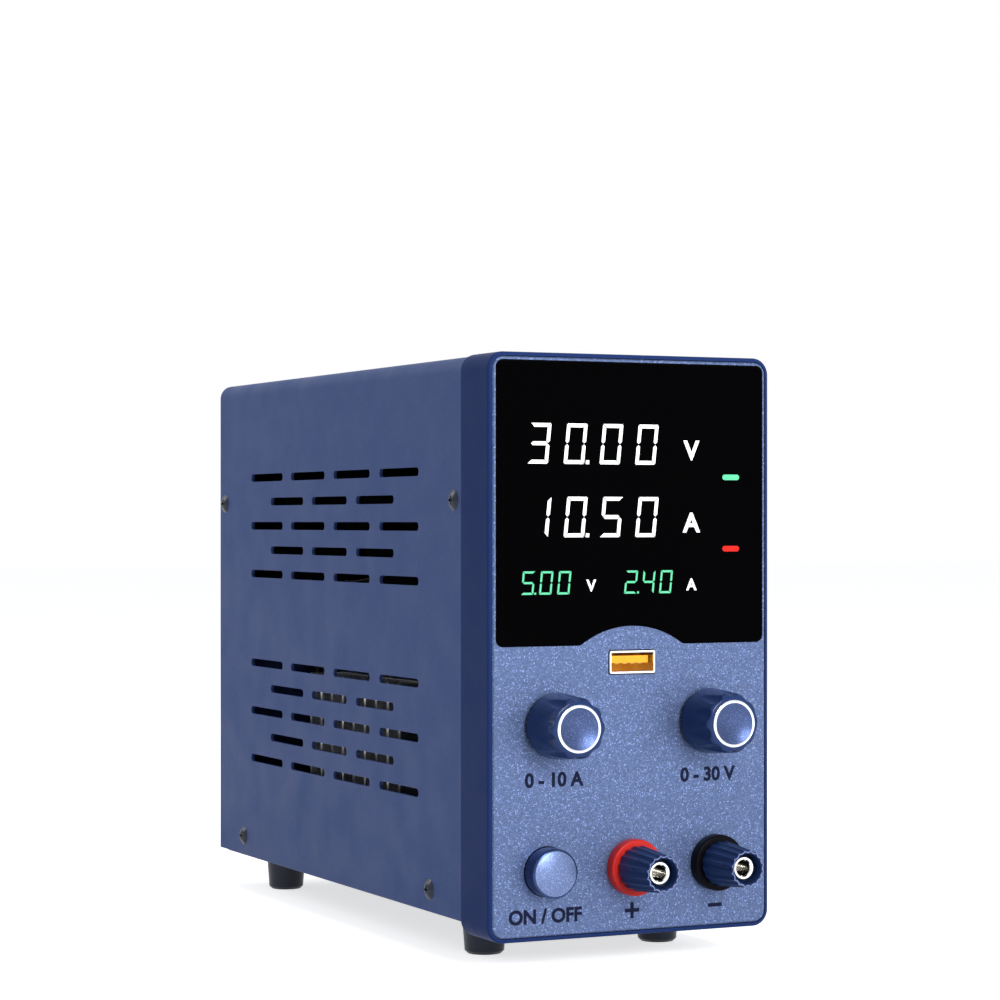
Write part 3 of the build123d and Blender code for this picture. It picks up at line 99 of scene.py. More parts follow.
class Recipe:
    """The node tree of one material, built around a single surface shader."""

    def __init__(self, name: str) -> None:
        """Starts an empty material with a surface shader and its output."""
        self.material = bpy.data.materials.new(name)
        self.material.use_nodes = True
        self.tree = self.material.node_tree
        self.tree.nodes.clear()
        self.output = self.add("ShaderNodeOutputMaterial")
        self.surface = self.add("ShaderNodeBsdfPrincipled")
        self.join(self.surface.outputs["BSDF"], self.output.inputs["Surface"])
        self.place = self.add("ShaderNodeTexCoord").outputs["Object"]

    def add(self, kind: str, **settings: object) -> bpy.types.Node:
        """Adds a node and sets its properties.

        Args:
            kind: The node's type name.
            **settings: Properties of the node, by name.

        Returns:
            The new node.
        """
        node = self.tree.nodes.new(kind)
        for key, value in settings.items():
            setattr(node, key, value)
        return node

    def join(self, source: Socket, target: Socket) -> None:
        """Links an output socket to an input socket."""
        self.tree.links.new(source, target)

    def noise(self, size: float, detail: float = 2.0, stretch: Sequence[float] = (1, 1, 1)) -> Socket:
        """Noise whose cells have a real size.

        Args:
            size: Width of a cell in metres.
            detail: Octaves of finer noise.
            stretch: How much finer the cells are along each axis.

        Returns:
            The noise's value socket.
        """
        mapping = self.add("ShaderNodeMapping")
        mapping.inputs["Scale"].default_value = [s / size for s in stretch]
        self.join(self.place, mapping.inputs["Vector"])
        noise = self.add("ShaderNodeTexNoise")
        noise.inputs["Scale"].default_value = 1.0
        noise.inputs["Detail"].default_value = detail
        self.join(mapping.outputs["Vector"], noise.inputs["Vector"])
        return noise.outputs["Fac"]

    def cells(self, size: float) -> Socket:
        """One random value for each cell of a real size in metres."""
        mapping = self.add("ShaderNodeMapping")
        mapping.inputs["Scale"].default_value = [1 / size] * 3
        self.join(self.place, mapping.inputs["Vector"])
        voronoi = self.add("ShaderNodeTexVoronoi")
        voronoi.inputs["Scale"].default_value = 1.0
        self.join(mapping.outputs["Vector"], voronoi.inputs["Vector"])
        parts = self.add("ShaderNodeSeparateColor")
        self.join(voronoi.outputs["Color"], parts.inputs["Color"])
        return parts.outputs["Red"]

    def rings(self, size: float) -> Socket:
        """Noise in rings round a turned piece, from its distance attribute."""
        distance = self.add("ShaderNodeAttribute", attribute_name=DISTANCE)
        noise = self.add("ShaderNodeTexNoise", noise_dimensions="1D")
        noise.inputs["Scale"].default_value = 1 / size
        noise.inputs["Detail"].default_value = 3.0
        self.join(distance.outputs["Fac"], noise.inputs["W"])
        return noise.outputs["Fac"]

    def span(self, value: Socket, low: float, high: float) -> Socket:
        """Maps the middle part of a noise to a range.

        Args:
            value: The noise's socket.
            low: Result where the noise is darkest.
            high: Result where the noise is brightest.

        Returns:
            The mapped socket.
        """
        node = self.add("ShaderNodeMapRange")
        node.inputs["From Min"].default_value, node.inputs["From Max"].default_value = NOISE_RANGE
        node.inputs["To Min"].default_value = low
        node.inputs["To Max"].default_value = high
        self.join(value, node.inputs["Value"])
        return node.outputs["Result"]

    def tones(self, value: Socket, stops: Sequence[tuple[float, Colour]]) -> None:
        """Lets the base colour follow a value.

        Args:
            value: The socket that drives the colour.
            stops: Places from 0 to 1 and their colours, at least two.
        """
        ramp = self.add("ShaderNodeValToRGB")
        elements = ramp.color_ramp.elements
        for place, _ in stops[2:]:
            elements.new(place)
        for element, (place, _) in zip(elements, stops):
            element.position = place
        for element, (_, colour) in zip(elements, stops):
            element.color = (*colour, 1)
        self.join(value, ramp.inputs["Fac"])
        self.join(ramp.outputs["Color"], self.surface.inputs["Base Color"])

    def bump(self, value: Socket, height: float, strength: float) -> None:
        """Raises the surface by a noise.

        Args:
            value: The noise's socket.
            height: Height of the relief in metres.
            strength: Share of that height that shows.
        """
        node = self.add("ShaderNodeBump")
        node.inputs["Distance"].default_value = height
        node.inputs["Strength"].default_value = strength
        self.join(value, node.inputs["Height"])
        self.join(node.outputs["Normal"], self.surface.inputs["Normal"])


@dataclass(frozen=True)
class Finish:
    """A surface finish: colour, gloss and the fine pattern that it carries."""

    name: str
    colour: Colour
    roughness: float = 0.4
    metallic: float = 0.0
    pattern: Pattern = Pattern.MOULDED
    specular: float = 0.3
    coat: float = 0.0
    glow: float = 0.0

    def material(self) -> bpy.types.Material:
        """Builds the material once and returns it."""
        title = f"finish_{self.name}"
        known = bpy.data.materials.get(title)
        if known:
            return known
        recipe = Recipe(title)
        shader = recipe.surface.inputs
        shader["Metallic"].default_value = self.metallic
        shader["Coat Weight"].default_value = self.coat
        shader["Coat Roughness"].default_value = COAT_ROUGHNESS
        shader["Specular IOR Level"].default_value = self.specular
        if self.glow:
            shader["Emission Color"].default_value = (*self.colour, 1)
            shader["Emission Strength"].default_value = self.glow
        self.dress(recipe)
        return recipe.material

    def tone(self, factor: float) -> Colour:
        """The colour made darker or lighter by a factor."""
        return tuple(min(channel * factor, 1.0) for channel in self.colour)

    def dress(self, recipe: Recipe) -> None:
        """Adds the pattern to colour, gloss and relief."""
        look = self.pattern.value
        patches = recipe.noise(PATCH_CELLS * look.size)
        if self.pattern is Pattern.TURNED:
            grain = recipe.rings(look.size)
        elif self.pattern is Pattern.BRUSHED:
            grain = recipe.noise(look.size, 3.0, BRUSHED_ALONG_X)
        elif self.pattern is Pattern.WOUND:
            grain = recipe.noise(look.size, 0.0, WOUND_ROUND_Z)
        else:
            grain = recipe.noise(look.size, 3.0)
        dark, light = self.tone(1 - look.contrast), self.tone(1 + look.contrast)
        # Flake cells vary at random; the brightest ones get a painted glint colour.
        if self.pattern in (Pattern.SPARKLE, Pattern.SATIN):
            painted_glint = tuple(min(channel * PAINTED_GLINT_GAIN + PAINTED_GLINT_LIFT, 1.0) for channel in self.colour)
            recipe.tones(recipe.cells(look.size), list(zip(FLAKE_AND_PAINTED_GLINT_STOPS, (dark, self.colour, light, painted_glint))))
        else:
            value = patches if self.pattern is Pattern.PLAIN else grain
            recipe.tones(value, list(zip(NOISE_RANGE, (dark, light))))
        spread = ROUGHNESS_SPREAD * self.roughness
        gloss = recipe.span(patches, self.roughness - spread, self.roughness + spread)
        recipe.join(gloss, recipe.surface.inputs["Roughness"])
        if look.relief:
            recipe.bump(grain, look.relief, look.share)


@dataclass(frozen=True)
class Finishes:
    """Every finish of the supply, by what it covers."""

    cover: Finish = Finish("cover_powder_coat", (0.046, 0.080, 0.222), 0.5, 0.0, Pattern.POWDER, 0.08)
    pan: Finish = Finish("pan_powder_coat", (0.040, 0.070, 0.195), 0.5, 0.0, Pattern.POWDER, 0.08)
    bezel: Finish = Finish("bezel_plastic", (0.0155, 0.034, 0.128), 0.42, 0.0, specular=0.02)
    panel: Finish = Finish("panel_metallic_paint", (0.098, 0.138, 0.270), 0.42, 0.6, Pattern.SPARKLE, 0.1)
    lens: Finish = Finish("smoked_lens", (0.0005, 0.0005, 0.0008), 0.06, 0.0, Pattern.PLAIN, 0.015)
    ink: Finish = Finish("panel_ink", (0.004, 0.007, 0.028), 0.55, specular=0.1)
    lit_white: Finish = Finish("lit_white_segment", (0.92, 0.92, 0.92), 0.5, 0.0, Pattern.PLAIN, 0.0,
                               glow=0.55)
    lit_green: Finish = Finish("lit_green_segment", (0.10, 0.48, 0.26), 0.5, 0.0, Pattern.PLAIN, 0.0,
                               glow=0.6)
    lit_red: Finish = Finish("lit_red_mark", (0.50, 0.02, 0.015), 0.5, 0.0, Pattern.PLAIN, 0.0, glow=0.6)
    knob: Finish = Finish("knob_gloss_plastic", (0.008, 0.026, 0.105), 0.2, specular=0.2)
    knob_rim: Finish = Finish("knob_rim_polished", (0.80, 0.86, 0.97), 0.14, 1.0, Pattern.TURNED)
    # The dish's dark navy metal colour is a painted reflection: it stands in for the dark surroundings that the
    # dish mirrors.
    knob_dish_painted_reflection: Finish = Finish("knob_dish_blasted_painted_reflection", (0.056, 0.082, 0.185), 0.36, 1.0, Pattern.SATIN)
    button_side: Finish = Finish("button_polished_side", (0.035, 0.060, 0.15), 0.2, 0.9, Pattern.TURNED)
    button_face: Finish = Finish("button_satin_face", (0.14, 0.19, 0.36), 0.36, 0.9, Pattern.SATIN)
    red_collar: Finish = Finish("red_collar_plastic", (0.55, 0.018, 0.013), 0.35, specular=0.2)
    black_collar: Finish = Finish("black_collar_plastic", (0.002, 0.002, 0.004), 0.35, specular=0.06)
    clamp_cap: Finish = Finish("clamp_cap_plastic", (0.010, 0.030, 0.110), 0.3, specular=0.2)
    # Lighter blue for the clamp cap's front land: a painted highlight along its front edge.
    cap_painted_highlight: Finish = Finish("clamp_cap_painted_edge_highlight", (0.16, 0.21, 0.42), 0.4)
    nickel: Finish = Finish("nickel_plating", (0.86, 0.85, 0.82), 0.12, 1.0, Pattern.TURNED)
    tin: Finish = Finish("tinned_steel", (0.90, 0.90, 0.91), 0.2, 1.0, Pattern.BRUSHED)
    zinc: Finish = Finish("zinc_plating", (0.62, 0.63, 0.64), 0.28, 1.0, Pattern.BRUSHED)
    orange: Finish = Finish("orange_socket", (1.0, 0.42, 0.03), 0.45, specular=0.2)
    contact: Finish = Finish("gilt_contact", (1.0, 0.62, 0.16), 0.3, 0.6, Pattern.BRUSHED)
    black_oxide: Finish = Finish("black_oxide_steel", (0.030, 0.034, 0.045), 0.3, 0.9, Pattern.TURNED)
    rubber: Finish = Finish("foot_rubber", (0.014, 0.020, 0.038), 0.38, specular=0.3)
    black_plastic: Finish = Finish("black_moulded_plastic", (0.012, 0.012, 0.014), 0.42)
    fan_plastic: Finish = Finish("matt_fan_plastic", (0.010, 0.010, 0.012), 0.7, specular=0.02)
    grey_plastic: Finish = Finish("grey_display_body", (0.07, 0.07, 0.075), 0.5)
    red_plastic: Finish = Finish("red_moulded_plastic", (0.55, 0.018, 0.014), 0.4)
    circuit: Finish = Finish("circuit_board", (0.02, 0.13, 0.055), 0.35, coat=0.4)
    brass: Finish = Finish("tinned_brass", (0.72, 0.60, 0.38), 0.25, 1.0, Pattern.BRUSHED)
    ferrite: Finish = Finish("ferrite_core", (0.045, 0.045, 0.05), 0.5, 0.2)
    tape: Finish = Finish("winding_tape", (0.72, 0.50, 0.05), 0.35, 0.0, Pattern.BRUSHED)
    sleeve: Finish = Finish("can_sleeve", (0.02, 0.03, 0.06), 0.25, coat=0.3)
    extrusion: Finish = Finish("sink_extrusion", (0.66, 0.67, 0.69), 0.35, 1.0, Pattern.BRUSHED)
    copper: Finish = Finish("enamelled_copper", (0.55, 0.20, 0.06), 0.28, 0.9, Pattern.WOUND)
    insulator: Finish = Finish("insulator_plastic", (0.52, 0.50, 0.44), 0.5)
    clear: Finish = Finish("clear_lamp", (0.72, 0.76, 0.78), 0.1, 0.0, Pattern.PLAIN)
    wire: Finish = Finish("wire_jacket", (0.02, 0.02, 0.022), 0.4)


FINISH = Finishes()


# Mesh tools


@dataclass(frozen=True)
class Span:
    """The box of a CAD node at rest, in metres."""

    low: Vector
    high: Vector

    @classmethod
    def of(cls, node: str) -> "Span":
        """Reads the box of a node."""
        return cls(*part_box(node))

    @property
    def middle(self) -> Vector:
        """The box's centre."""
        return (self.low + self.high) / 2

    @property
    def size(self) -> Vector:
        """The box's width, depth and height."""
        return self.high - self.low


def set_shading(mesh: BMesh, angle: float = SMOOTH_ANGLE) -> None:
    """Shades faces smooth and keeps edges sharper than an angle."""
    for face in mesh.faces:
        face.smooth = True
    for edge in mesh.edges:
        if len(edge.link_faces) == 2:
            edge.smooth = edge.calc_face_angle(0) < angle


def make_piece(name: str, mesh: BMesh, finishes: Sequence[Finish], body: str,
               stands_for: Iterable[str] = (), angle: float = SMOOTH_ANGLE) -> bpy.types.Object:
    """Turns a bmesh into a piece that rides on a body.

    Args:
        name: Name of the piece.
        mesh: The shape, in metres and in place.
        finishes: Finishes by material index.
        body: The CAD body that carries it.
        stands_for: CAD nodes that the piece replaces.
        angle: Edges sharper than this stay sharp.

    Returns:
        The new object.
    """
    set_shading(mesh, angle)
    data = bpy.data.meshes.new(name)
    mesh.to_mesh(data)
    mesh.free()
    for finish in finishes:
        data.materials.append(finish.material())
    thing = bpy.data.objects.new(name, data)
    bpy.context.scene.collection.objects.link(thing)
    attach(thing, body)
    if stands_for:
        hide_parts(*stands_for)
    LOG.info("%s: %d faces", name, len(data.polygons))
    return thing


def lathe(profile: Sequence[Point], segments: int = 96) -> BMesh:
    """Spins an open profile about the Y axis.

    Args:
        profile: Points of radius and depth, from the front's middle outwards.
        segments: Steps round the axis.

    Returns:
        The turned shape, closed where the profile meets the axis.
    """
    mesh = bmesh.new()
    corners = [mesh.verts.new((radius, depth, 0)) for radius, depth in profile]
    edges = [mesh.edges.new(pair) for pair in zip(corners, corners[1:])]
    bmesh.ops.spin(mesh, geom=corners + edges, cent=(0, 0, 0), axis=(0, 1, 0), dvec=(0, 0, 0),
                   angle=2 * math.pi, steps=segments, use_merge=True, use_duplicate=False)
    bmesh.ops.remove_doubles(mesh, verts=mesh.verts, dist=1e-7)
    bmesh.ops.recalc_face_normals(mesh, faces=mesh.faces)
    distance = mesh.verts.layers.float.new(DISTANCE)
    for vertex in mesh.verts:
        vertex[distance] = math.hypot(vertex.co.x, vertex.co.z) + vertex.co.y
    return mesh


def arc(centre: Point, radius: float, start: float, end: float, steps: int) -> list[Point]:
    """Points of an arc in a profile, with angles in degrees from the radial direction."""
    turns = [math.radians(start + (end - start) * step / steps) for step in range(steps + 1)]
    return [(centre[0] + radius * math.cos(turn), centre[1] + radius * math.sin(turn)) for turn in turns]


def divided(profile: Sequence[Point], longest: float) -> list[Point]:
    """Adds points to a profile so that no step is longer than a length."""
    points = [profile[0]]
    for here, there in zip(profile, profile[1:]):
        count = max(1, math.ceil(math.dist(here, there) / longest))
        points += [
            (here[0] + (there[0] - here[0]) * step / count, here[1] + (there[1] - here[1]) * step / count)
            for step in range(1, count + 1)
        ]
    return points


def moved(mesh: BMesh, place: Vector) -> BMesh:
    """Moves a shape and returns it."""
    bmesh.ops.translate(mesh, verts=mesh.verts, vec=place)
    return mesh


def carve_flutes(mesh: BMesh, count: int, cutter: float, reach: Callable[[float], float],
                 outside: float, depths: Point, inset: float = 0.0) -> None:
    """Presses round flutes into the side of a turned shape.

    Args:
        mesh: A shape turned about Y with its axis at the origin.
        count: Number of flutes.
        cutter: Radius of the round cutter that makes a flute.
        reach: Distance of the cutter's middle from the axis, by depth.
        outside: Smallest radius that counts as the outer side.
        depths: The stretch of depth in which flutes are cut.
        inset: How much further in the tagged points stay than the flutes.
    """
    pitch = 2 * math.pi / count
    for vertex in mesh.verts:
        radius = math.hypot(vertex.co.x, vertex.co.z)
        depth = vertex.co.y
        if radius < outside or not depths[0] <= depth <= depths[1]:
            continue
        angle = math.atan2(vertex.co.x, vertex.co.z)
        offset = (angle + pitch / 2) % pitch - pitch / 2
        middle = reach(depth)
        inside = cutter**2 - (middle * math.sin(offset)) ** 2
        if inside <= 0:
            continue
        limit = middle * math.cos(offset) - math.sqrt(inside) - (inset if vertex.tag else 0.0)
        if limit < radius:
            vertex.co.x *= limit / radius
            vertex.co.z *= limit / radius


def flat_text(words: str, height: float, thickness: float, weight: float = 0.0) -> BMesh:
    """Letters as a thin plate that faces the user, centred on the origin.

    Args:
        words: What to write.
        height: Height of a capital in metres.
        thickness: Thickness of the plate.
        weight: How far the strokes are widened.

    Returns:
        The lettering, in X and Z.
    """
    capital_share = 0.729
    curve = bpy.data.curves.new(words, "FONT")
    curve.body = words
    curve.size = height / capital_share
    curve.offset = weight
    curve.extrude = thickness / 2
    curve.resolution_u = 6
    curve.align_x = "CENTER"
    text = bpy.data.objects.new(words, curve)
    data = bpy.data.meshes.new_from_object(text)
    mesh = bmesh.new()
    mesh.from_mesh(data)
    bpy.data.objects.remove(text)
    bpy.data.curves.remove(curve)
    bpy.data.meshes.remove(data)
    bmesh.ops.remove_doubles(mesh, verts=mesh.verts, dist=1e-6)
    bmesh.ops.translate(mesh, verts=mesh.verts, vec=(0, -height / 2, 0))
    bmesh.ops.rotate(mesh, verts=mesh.verts, cent=(0, 0, 0), matrix=Matrix.Rotation(math.pi / 2, 3, "X"))
    return mesh


def joined(shapes: Iterable[BMesh]) -> BMesh:
    """Joins shapes into one and frees them."""
    whole = bmesh.new()
    for shape in shapes:
        data = bpy.data.meshes.new("joined")
        shape.to_mesh(data)
        shape.free()
        whole.from_mesh(data)
        bpy.data.meshes.remove(data)
    return whole


def plate(outline: Sequence[Point], front: float, thickness: float) -> BMesh:
    """Thin upright plate with a flat outline in X and Z, whose front lies at a given Y."""
    mesh = bmesh.new()
    face = mesh.faces.new([mesh.verts.new((x, front, z)) for x, z in outline])
    extruded = bmesh.ops.extrude_face_region(mesh, geom=[face])
    back = [item for item in extruded["geom"] if isinstance(item, bmesh.types.BMVert)]
    bmesh.ops.translate(mesh, verts=back, vec=(0, thickness, 0))
    bmesh.ops.recalc_face_normals(mesh, faces=mesh.faces)
    return mesh


# The object's own parts


@dataclass
class Controls:
    """The two scalloped knobs with their metal caps."""

    rear_radius: float = 8.75 * MM
    front_radius: float = 8.05 * MM
    front_round: float = 1.5 * MM
    rear_round: float = 0.3 * MM
    scoops: int = 10
    scoop_radius: float = 3.6 * MM
    scoop_depth: float = 1.0 * MM
    scoop_start: float = 9.0 * MM
    cap_radius: float = 6.25 * MM
    face_drop: float = 0.4 * MM
    rim_width: float = 0.75 * MM
    rim_round: float = 0.22 * MM
    dish_depth: float = 0.9 * MM
    wall: float = 1.6 * MM
    cavity: float = 6.7 * MM
    cavity_depth: float = 2.0 * MM
    longest_step: float = 0.35 * MM
    segments: int = 200
    cap_segments: int = 128
    cap_edge: float = 0.05 * MM

    def build(self) -> None:
        """Builds both knobs."""
        for name in ("current", "voltage"):
            span = Span.of(f"{name}_knob")
            axis = Vector((span.middle.x, 0, span.middle.z))
            self.build_body(name, span, axis)
            self.build_cap(name, axis)

    def build_body(self, name: str, span: Span, axis: Vector) -> None:
        """Turns one knob's body and presses its scoops."""
        front, rear = span.low.y, span.high.y
        face = front + self.face_drop
        corner = (self.front_radius - self.front_round, face + self.front_round)
        profile = [(self.cap_radius, front + self.wall), (self.cap_radius, face)]
        profile += arc(corner, self.front_round, -90, 0, 10)
        profile += [(self.rear_radius, rear - self.rear_round), (self.rear_radius - self.rear_round, rear)]
        profile += [(self.cavity, rear), (self.cavity, rear - self.cavity_depth), (0, rear - self.cavity_depth)]
        mesh = lathe(divided(profile, self.longest_step), self.segments)
        taper = (self.rear_radius - self.front_radius) / (rear - front)
        slope = taper + self.scoop_depth / self.scoop_start
        nearest = self.front_radius - self.scoop_depth + self.scoop_radius
        carve_flutes(mesh, self.scoops, self.scoop_radius, lambda depth: nearest + slope * (depth - front),
                     self.cap_radius + self.cap_edge, (front, rear))
        make_piece(f"{name}_knob_body", moved(mesh, axis), [FINISH.knob], f"{name}_turn",
                   [f"{name}_knob"])

    def build_cap(self, name: str, axis: Vector) -> None:
        """Turns one knob's cap, with a bright rim round a dished centre."""
        span = Span.of(f"{name}_knob_cap")
        front, rear = span.low.y, span.high.y
        edge = self.cap_radius - self.rim_width
        ball = (edge**2 + self.dish_depth**2) / (2 * self.dish_depth)
        half = math.degrees(math.asin(edge / ball))
        dish = arc((0, front + self.dish_depth - ball), ball, 90, 90 - half, 24)
        corner = (self.cap_radius - self.rim_round, front + self.rim_round)
        rim = [*arc(corner, self.rim_round, -90, 0, 5), (self.cap_radius, rear), (0, rear)]
        mesh = lathe(dish + rim, self.cap_segments)
        # The dished centre gets the dark painted-reflection finish; the rim keeps the bright polished one.
        for face in mesh.faces:
            centre = face.calc_center_median()
            ahead = centre.y < front + self.dish_depth + self.cap_edge
            face.material_index = int(ahead and math.hypot(centre.x, centre.z) < edge)
        make_piece(f"{name}_knob_metal", moved(mesh, axis), [FINISH.knob_rim, FINISH.knob_dish_painted_reflection],
                   f"{name}_turn", [f"{name}_knob_cap"], math.radians(20))


@dataclass
class PowerButton:
    """Polished button with a satin domed face."""

    radius: float = 6.5 * MM
    bevel: float = 0.6 * MM
    dome: float = 0.8 * MM
    skirt_depth: float = 11.0 * MM
    stem_radius: float = 2.5 * MM

    def build(self) -> None:
        """Turns the button."""
        span = Span.of("power_button")
        axis = Vector((span.middle.x, 0, span.middle.z))
        front, rear = span.low.y, span.high.y
        face = self.radius - self.bevel
        ball = (face**2 + self.dome**2) / (2 * self.dome)
        half = math.degrees(math.asin(face / ball))
        dome = arc((0, front + ball), ball, -90, half - 90, 24)
        rim = arc((self.radius - self.bevel, front + self.dome + self.bevel), self.bevel, -90, 0, 6)
        body = [(self.radius, front + self.skirt_depth), (self.stem_radius, front + self.skirt_depth)]
        mesh = lathe(dome + rim[1:] + body + [(self.stem_radius, rear), (0, rear)], 128)
        for item in mesh.faces:
            centre = item.calc_center_median()
            item.material_index = 1 if centre.y < front + self.dome else 0
        make_piece("power_button_cap", moved(mesh, axis), [FINISH.button_side, FINISH.button_face],
                   "power_button", ["power_button"], math.radians(25))


@dataclass
class OutputPosts:
    """Collars, plated stems and fluted clamp caps of the two output posts."""

    stem_radius: float = 3.15 * MM
    socket_radius: float = 2.02 * MM
    socket_depth: float = 16.0 * MM
    collar_round: float = 0.6 * MM
    thread_pitch: float = 0.8 * MM
    thread_depth: float = 0.22 * MM
    thread_length: float = 7.0 * MM
    tip_bore: float = 4.1 * MM
    tip_bore_depth: float = 4.6 * MM
    tip_radius: float = 4.95 * MM
    large_radius: float = 6.05 * MM
    large_round: float = 0.6 * MM
    flutes: int = 16
    flute_radius: float = 1.25 * MM
    flute_depth: float = 0.45 * MM
    land: float = 0.30 * MM
    land_drop: float = 0.25 * MM
    room_radius: float = 5.0 * MM
    room_depth: float = 1.0 * MM
    cap_bore: float = 3.23 * MM
    cap_edge: float = 0.06 * MM
    bore_margin: float = 0.2 * MM
    shank: float = 4.0 * MM
    socket_lip: float = 0.3 * MM
    thread_set_back: float = 1.5 * MM
    longest_step: float = 0.5 * MM
    cap_segments: int = 256

    def build(self) -> None:
        """Builds both posts."""
        stems = Span.of("post_stems")
        shapes = []
        for name, finish, slot in (("positive", FINISH.red_collar, "red_collar"),
                                   ("negative", FINISH.black_collar, "black_collar")):
            span = Span.of(f"{name}_collar")
            axis = Vector((span.middle.x, 0, span.middle.z))
            self.build_collar(name, span, axis, finish)
            self.build_cap(name, axis)
            shapes.append(moved(self.stem(stems), axis))
        make_piece("post_stem_pair", joined(shapes), [FINISH.nickel], "housing", ["post_stems"])

    def build_collar(self, name: str, span: Span, axis: Vector, finish: Finish) -> None:
        """Turns one collar with its shank."""
        radius = span.size.x / 2
        front = span.low.y
        panel = Span.of("front_panel").low.y
        bore, shank = self.cap_bore, self.shank
        corner = (radius - self.collar_round, front + self.collar_round)
        profile = [(bore, span.high.y), (bore, front), *arc(corner, self.collar_round, -90, 0, 8)]
        profile += [(radius, panel), (shank, panel), (shank, span.high.y), (bore, span.high.y)]
        make_piece(f"{name}_collar_ring", moved(lathe(profile, 128), axis), [finish], "housing",
                   [f"{name}_collar"])

    def stem(self, span: Span) -> BMesh:
        """Turns one stem with its plug socket and the thread behind it."""
        front, rear = span.low.y, span.high.y
        lip = self.socket_lip
        thread_start = front + self.thread_set_back
        profile = [(0, front + self.socket_depth), (self.socket_radius, front + self.socket_depth)]
        profile += [(self.socket_radius, front + lip), (self.socket_radius + lip, front)]
        profile += [(self.stem_radius - lip, front), (self.stem_radius, front + lip)]
        turns = int(self.thread_length / self.thread_pitch)
        for turn in range(turns):
            start = thread_start + turn * self.thread_pitch
            root = (self.stem_radius - self.thread_depth, start + self.thread_pitch / 2)
            profile += [(self.stem_radius, start), root]
        thread_end = thread_start + turns * self.thread_pitch
        profile += [(self.stem_radius, thread_end), (self.stem_radius, rear), (0, rear)]
        return lathe(profile, 96)

    def build_cap(self, name: str, axis: Vector) -> None:
        """Turns one clamp cap and presses its flutes."""
        span = Span.of(f"{name}_clamp_cap")
        front, rear = span.low.y, span.high.y
        length = rear - front
        edge = self.cap_edge
        inner = self.tip_radius - edge - self.land
        profile = [(self.cap_bore, rear - self.room_depth), (self.cap_bore, front + self.tip_bore_depth)]
        profile += [(self.tip_bore, front + self.tip_bore_depth), (self.tip_bore, front + self.land_drop)]
        profile += [(inner - edge, front + self.land_drop), (inner, front + edge / 3)]
        profile += [(self.tip_radius - edge, front), (self.tip_radius, front + edge)]
        corner = (self.large_radius - self.large_round, rear - self.large_round)
        profile += arc(corner, self.large_round, 0, 90, 5)
        profile += [(self.room_radius, rear), (self.room_radius, rear - self.room_depth),
                    (self.cap_bore, rear - self.room_depth)]
        mesh = lathe(divided(profile, self.longest_step), self.cap_segments)
        slope = (self.large_radius - self.tip_radius) / length
        nearest = self.tip_radius - self.flute_depth + self.flute_radius
        for vertex in mesh.verts:
            vertex.tag = abs(vertex.co.y - front - edge / 3) < edge / 9
        carve_flutes(mesh, self.flutes, self.flute_radius, lambda depth: nearest + slope * (depth - front),
                     self.tip_bore + self.bore_margin, (front - MM, rear + MM), self.land)
        # Faces on the thin front land get the lighter blue painted highlight.
        for face in mesh.faces:
            middle = face.calc_center_median()
            face.material_index = int(middle.y < front + edge)
        make_piece(f"{name}_clamp_cap_body", moved(mesh, axis), [FINISH.clamp_cap, FINISH.cap_painted_highlight],
                   f"{name}_cap", [f"{name}_clamp_cap"], math.radians(35))


@dataclass
class SegmentDigits:
    """Seven-segment digits that show through the lens."""

    height: float
    width: float
    stroke: float
    pitch: float
    slant: float = math.radians(6)
    gap: float = 0.14 * MM
    thickness: float = 0.03 * MM
    lit: dict[str, str] = field(default_factory=lambda: {
        "0": "abcdef", "1": "bc", "2": "abged", "3": "abgcd", "4": "fgbc",
        "5": "afgcd", "6": "afgedc", "7": "abc", "8": "abcdefg", "9": "abcdfg"})

    def segment(self, name: str) -> list[Point]:
        """Corners of one segment, before the slant, in X and Z from the digit's middle."""
        half_w, half_h = self.width / 2, self.height / 2
        stroke, gap = self.stroke, self.gap
        across = [(-half_w + gap, half_h), (half_w - gap, half_h), (half_w - gap - stroke, half_h - stroke),
                  (-half_w + gap + stroke, half_h - stroke)]
        middle = [(-half_w + gap + stroke / 2, 0), (-half_w + gap + stroke, stroke / 2),
                  (half_w - gap - stroke, stroke / 2), (half_w - gap - stroke / 2, 0),
                  (half_w - gap - stroke, -stroke / 2), (-half_w + gap + stroke, -stroke / 2)]
        upper = [(half_w, half_h - gap), (half_w, gap + stroke / 2), (half_w - stroke / 2, gap),
                 (half_w - stroke, gap + stroke / 2), (half_w - stroke, half_h - stroke - gap)]
        outlines = {
            "a": across,
            "d": [(x, -z) for x, z in reversed(across)],
            "g": middle,
            "b": upper,
            "f": [(-x, z) for x, z in reversed(upper)],
            "c": [(x, -z) for x, z in reversed(upper)],
            "e": [(-x, -z) for x, z in upper],
        }
        return outlines[name]

    def row(self, text: str, centre: Vector, front: float) -> BMesh:
        """Builds a row of digits with decimal points.

        Args:
            text: Digits and points.
            centre: Middle of the row.
            front: Y of the plates' front.

        Returns:
            All lit segments of the row.
        """
        digits = [character for character in text if character != "."]
        start = centre.x - (len(digits) - 1) * self.pitch / 2
        shapes = []
        place = -1
        for character in text:
            if character == ".":
                half = self.stroke / 2
                x = start + place * self.pitch + self.width / 2 + self.stroke
                z = centre.z - self.height / 2
                dot = [(x - half, z), (x + half, z), (x + half, z + 2 * half), (x - half, z + 2 * half)]
                shapes.append(plate(self.slanted(dot, centre.z), front, self.thickness))
                continue
            place += 1
            for name in self.lit[character]:
                outline = [(x + start + place * self.pitch, z + centre.z) for x, z in self.segment(name)]
                shapes.append(plate(self.slanted(outline, centre.z), front, self.thickness))
        return joined(shapes)

    def slanted(self, outline: Sequence[Point], level: float) -> list[Point]:
        """Leans an outline to the right about a level."""
        lean = math.tan(self.slant)
        return [(x + (z - level) * lean, z) for x, z in outline]


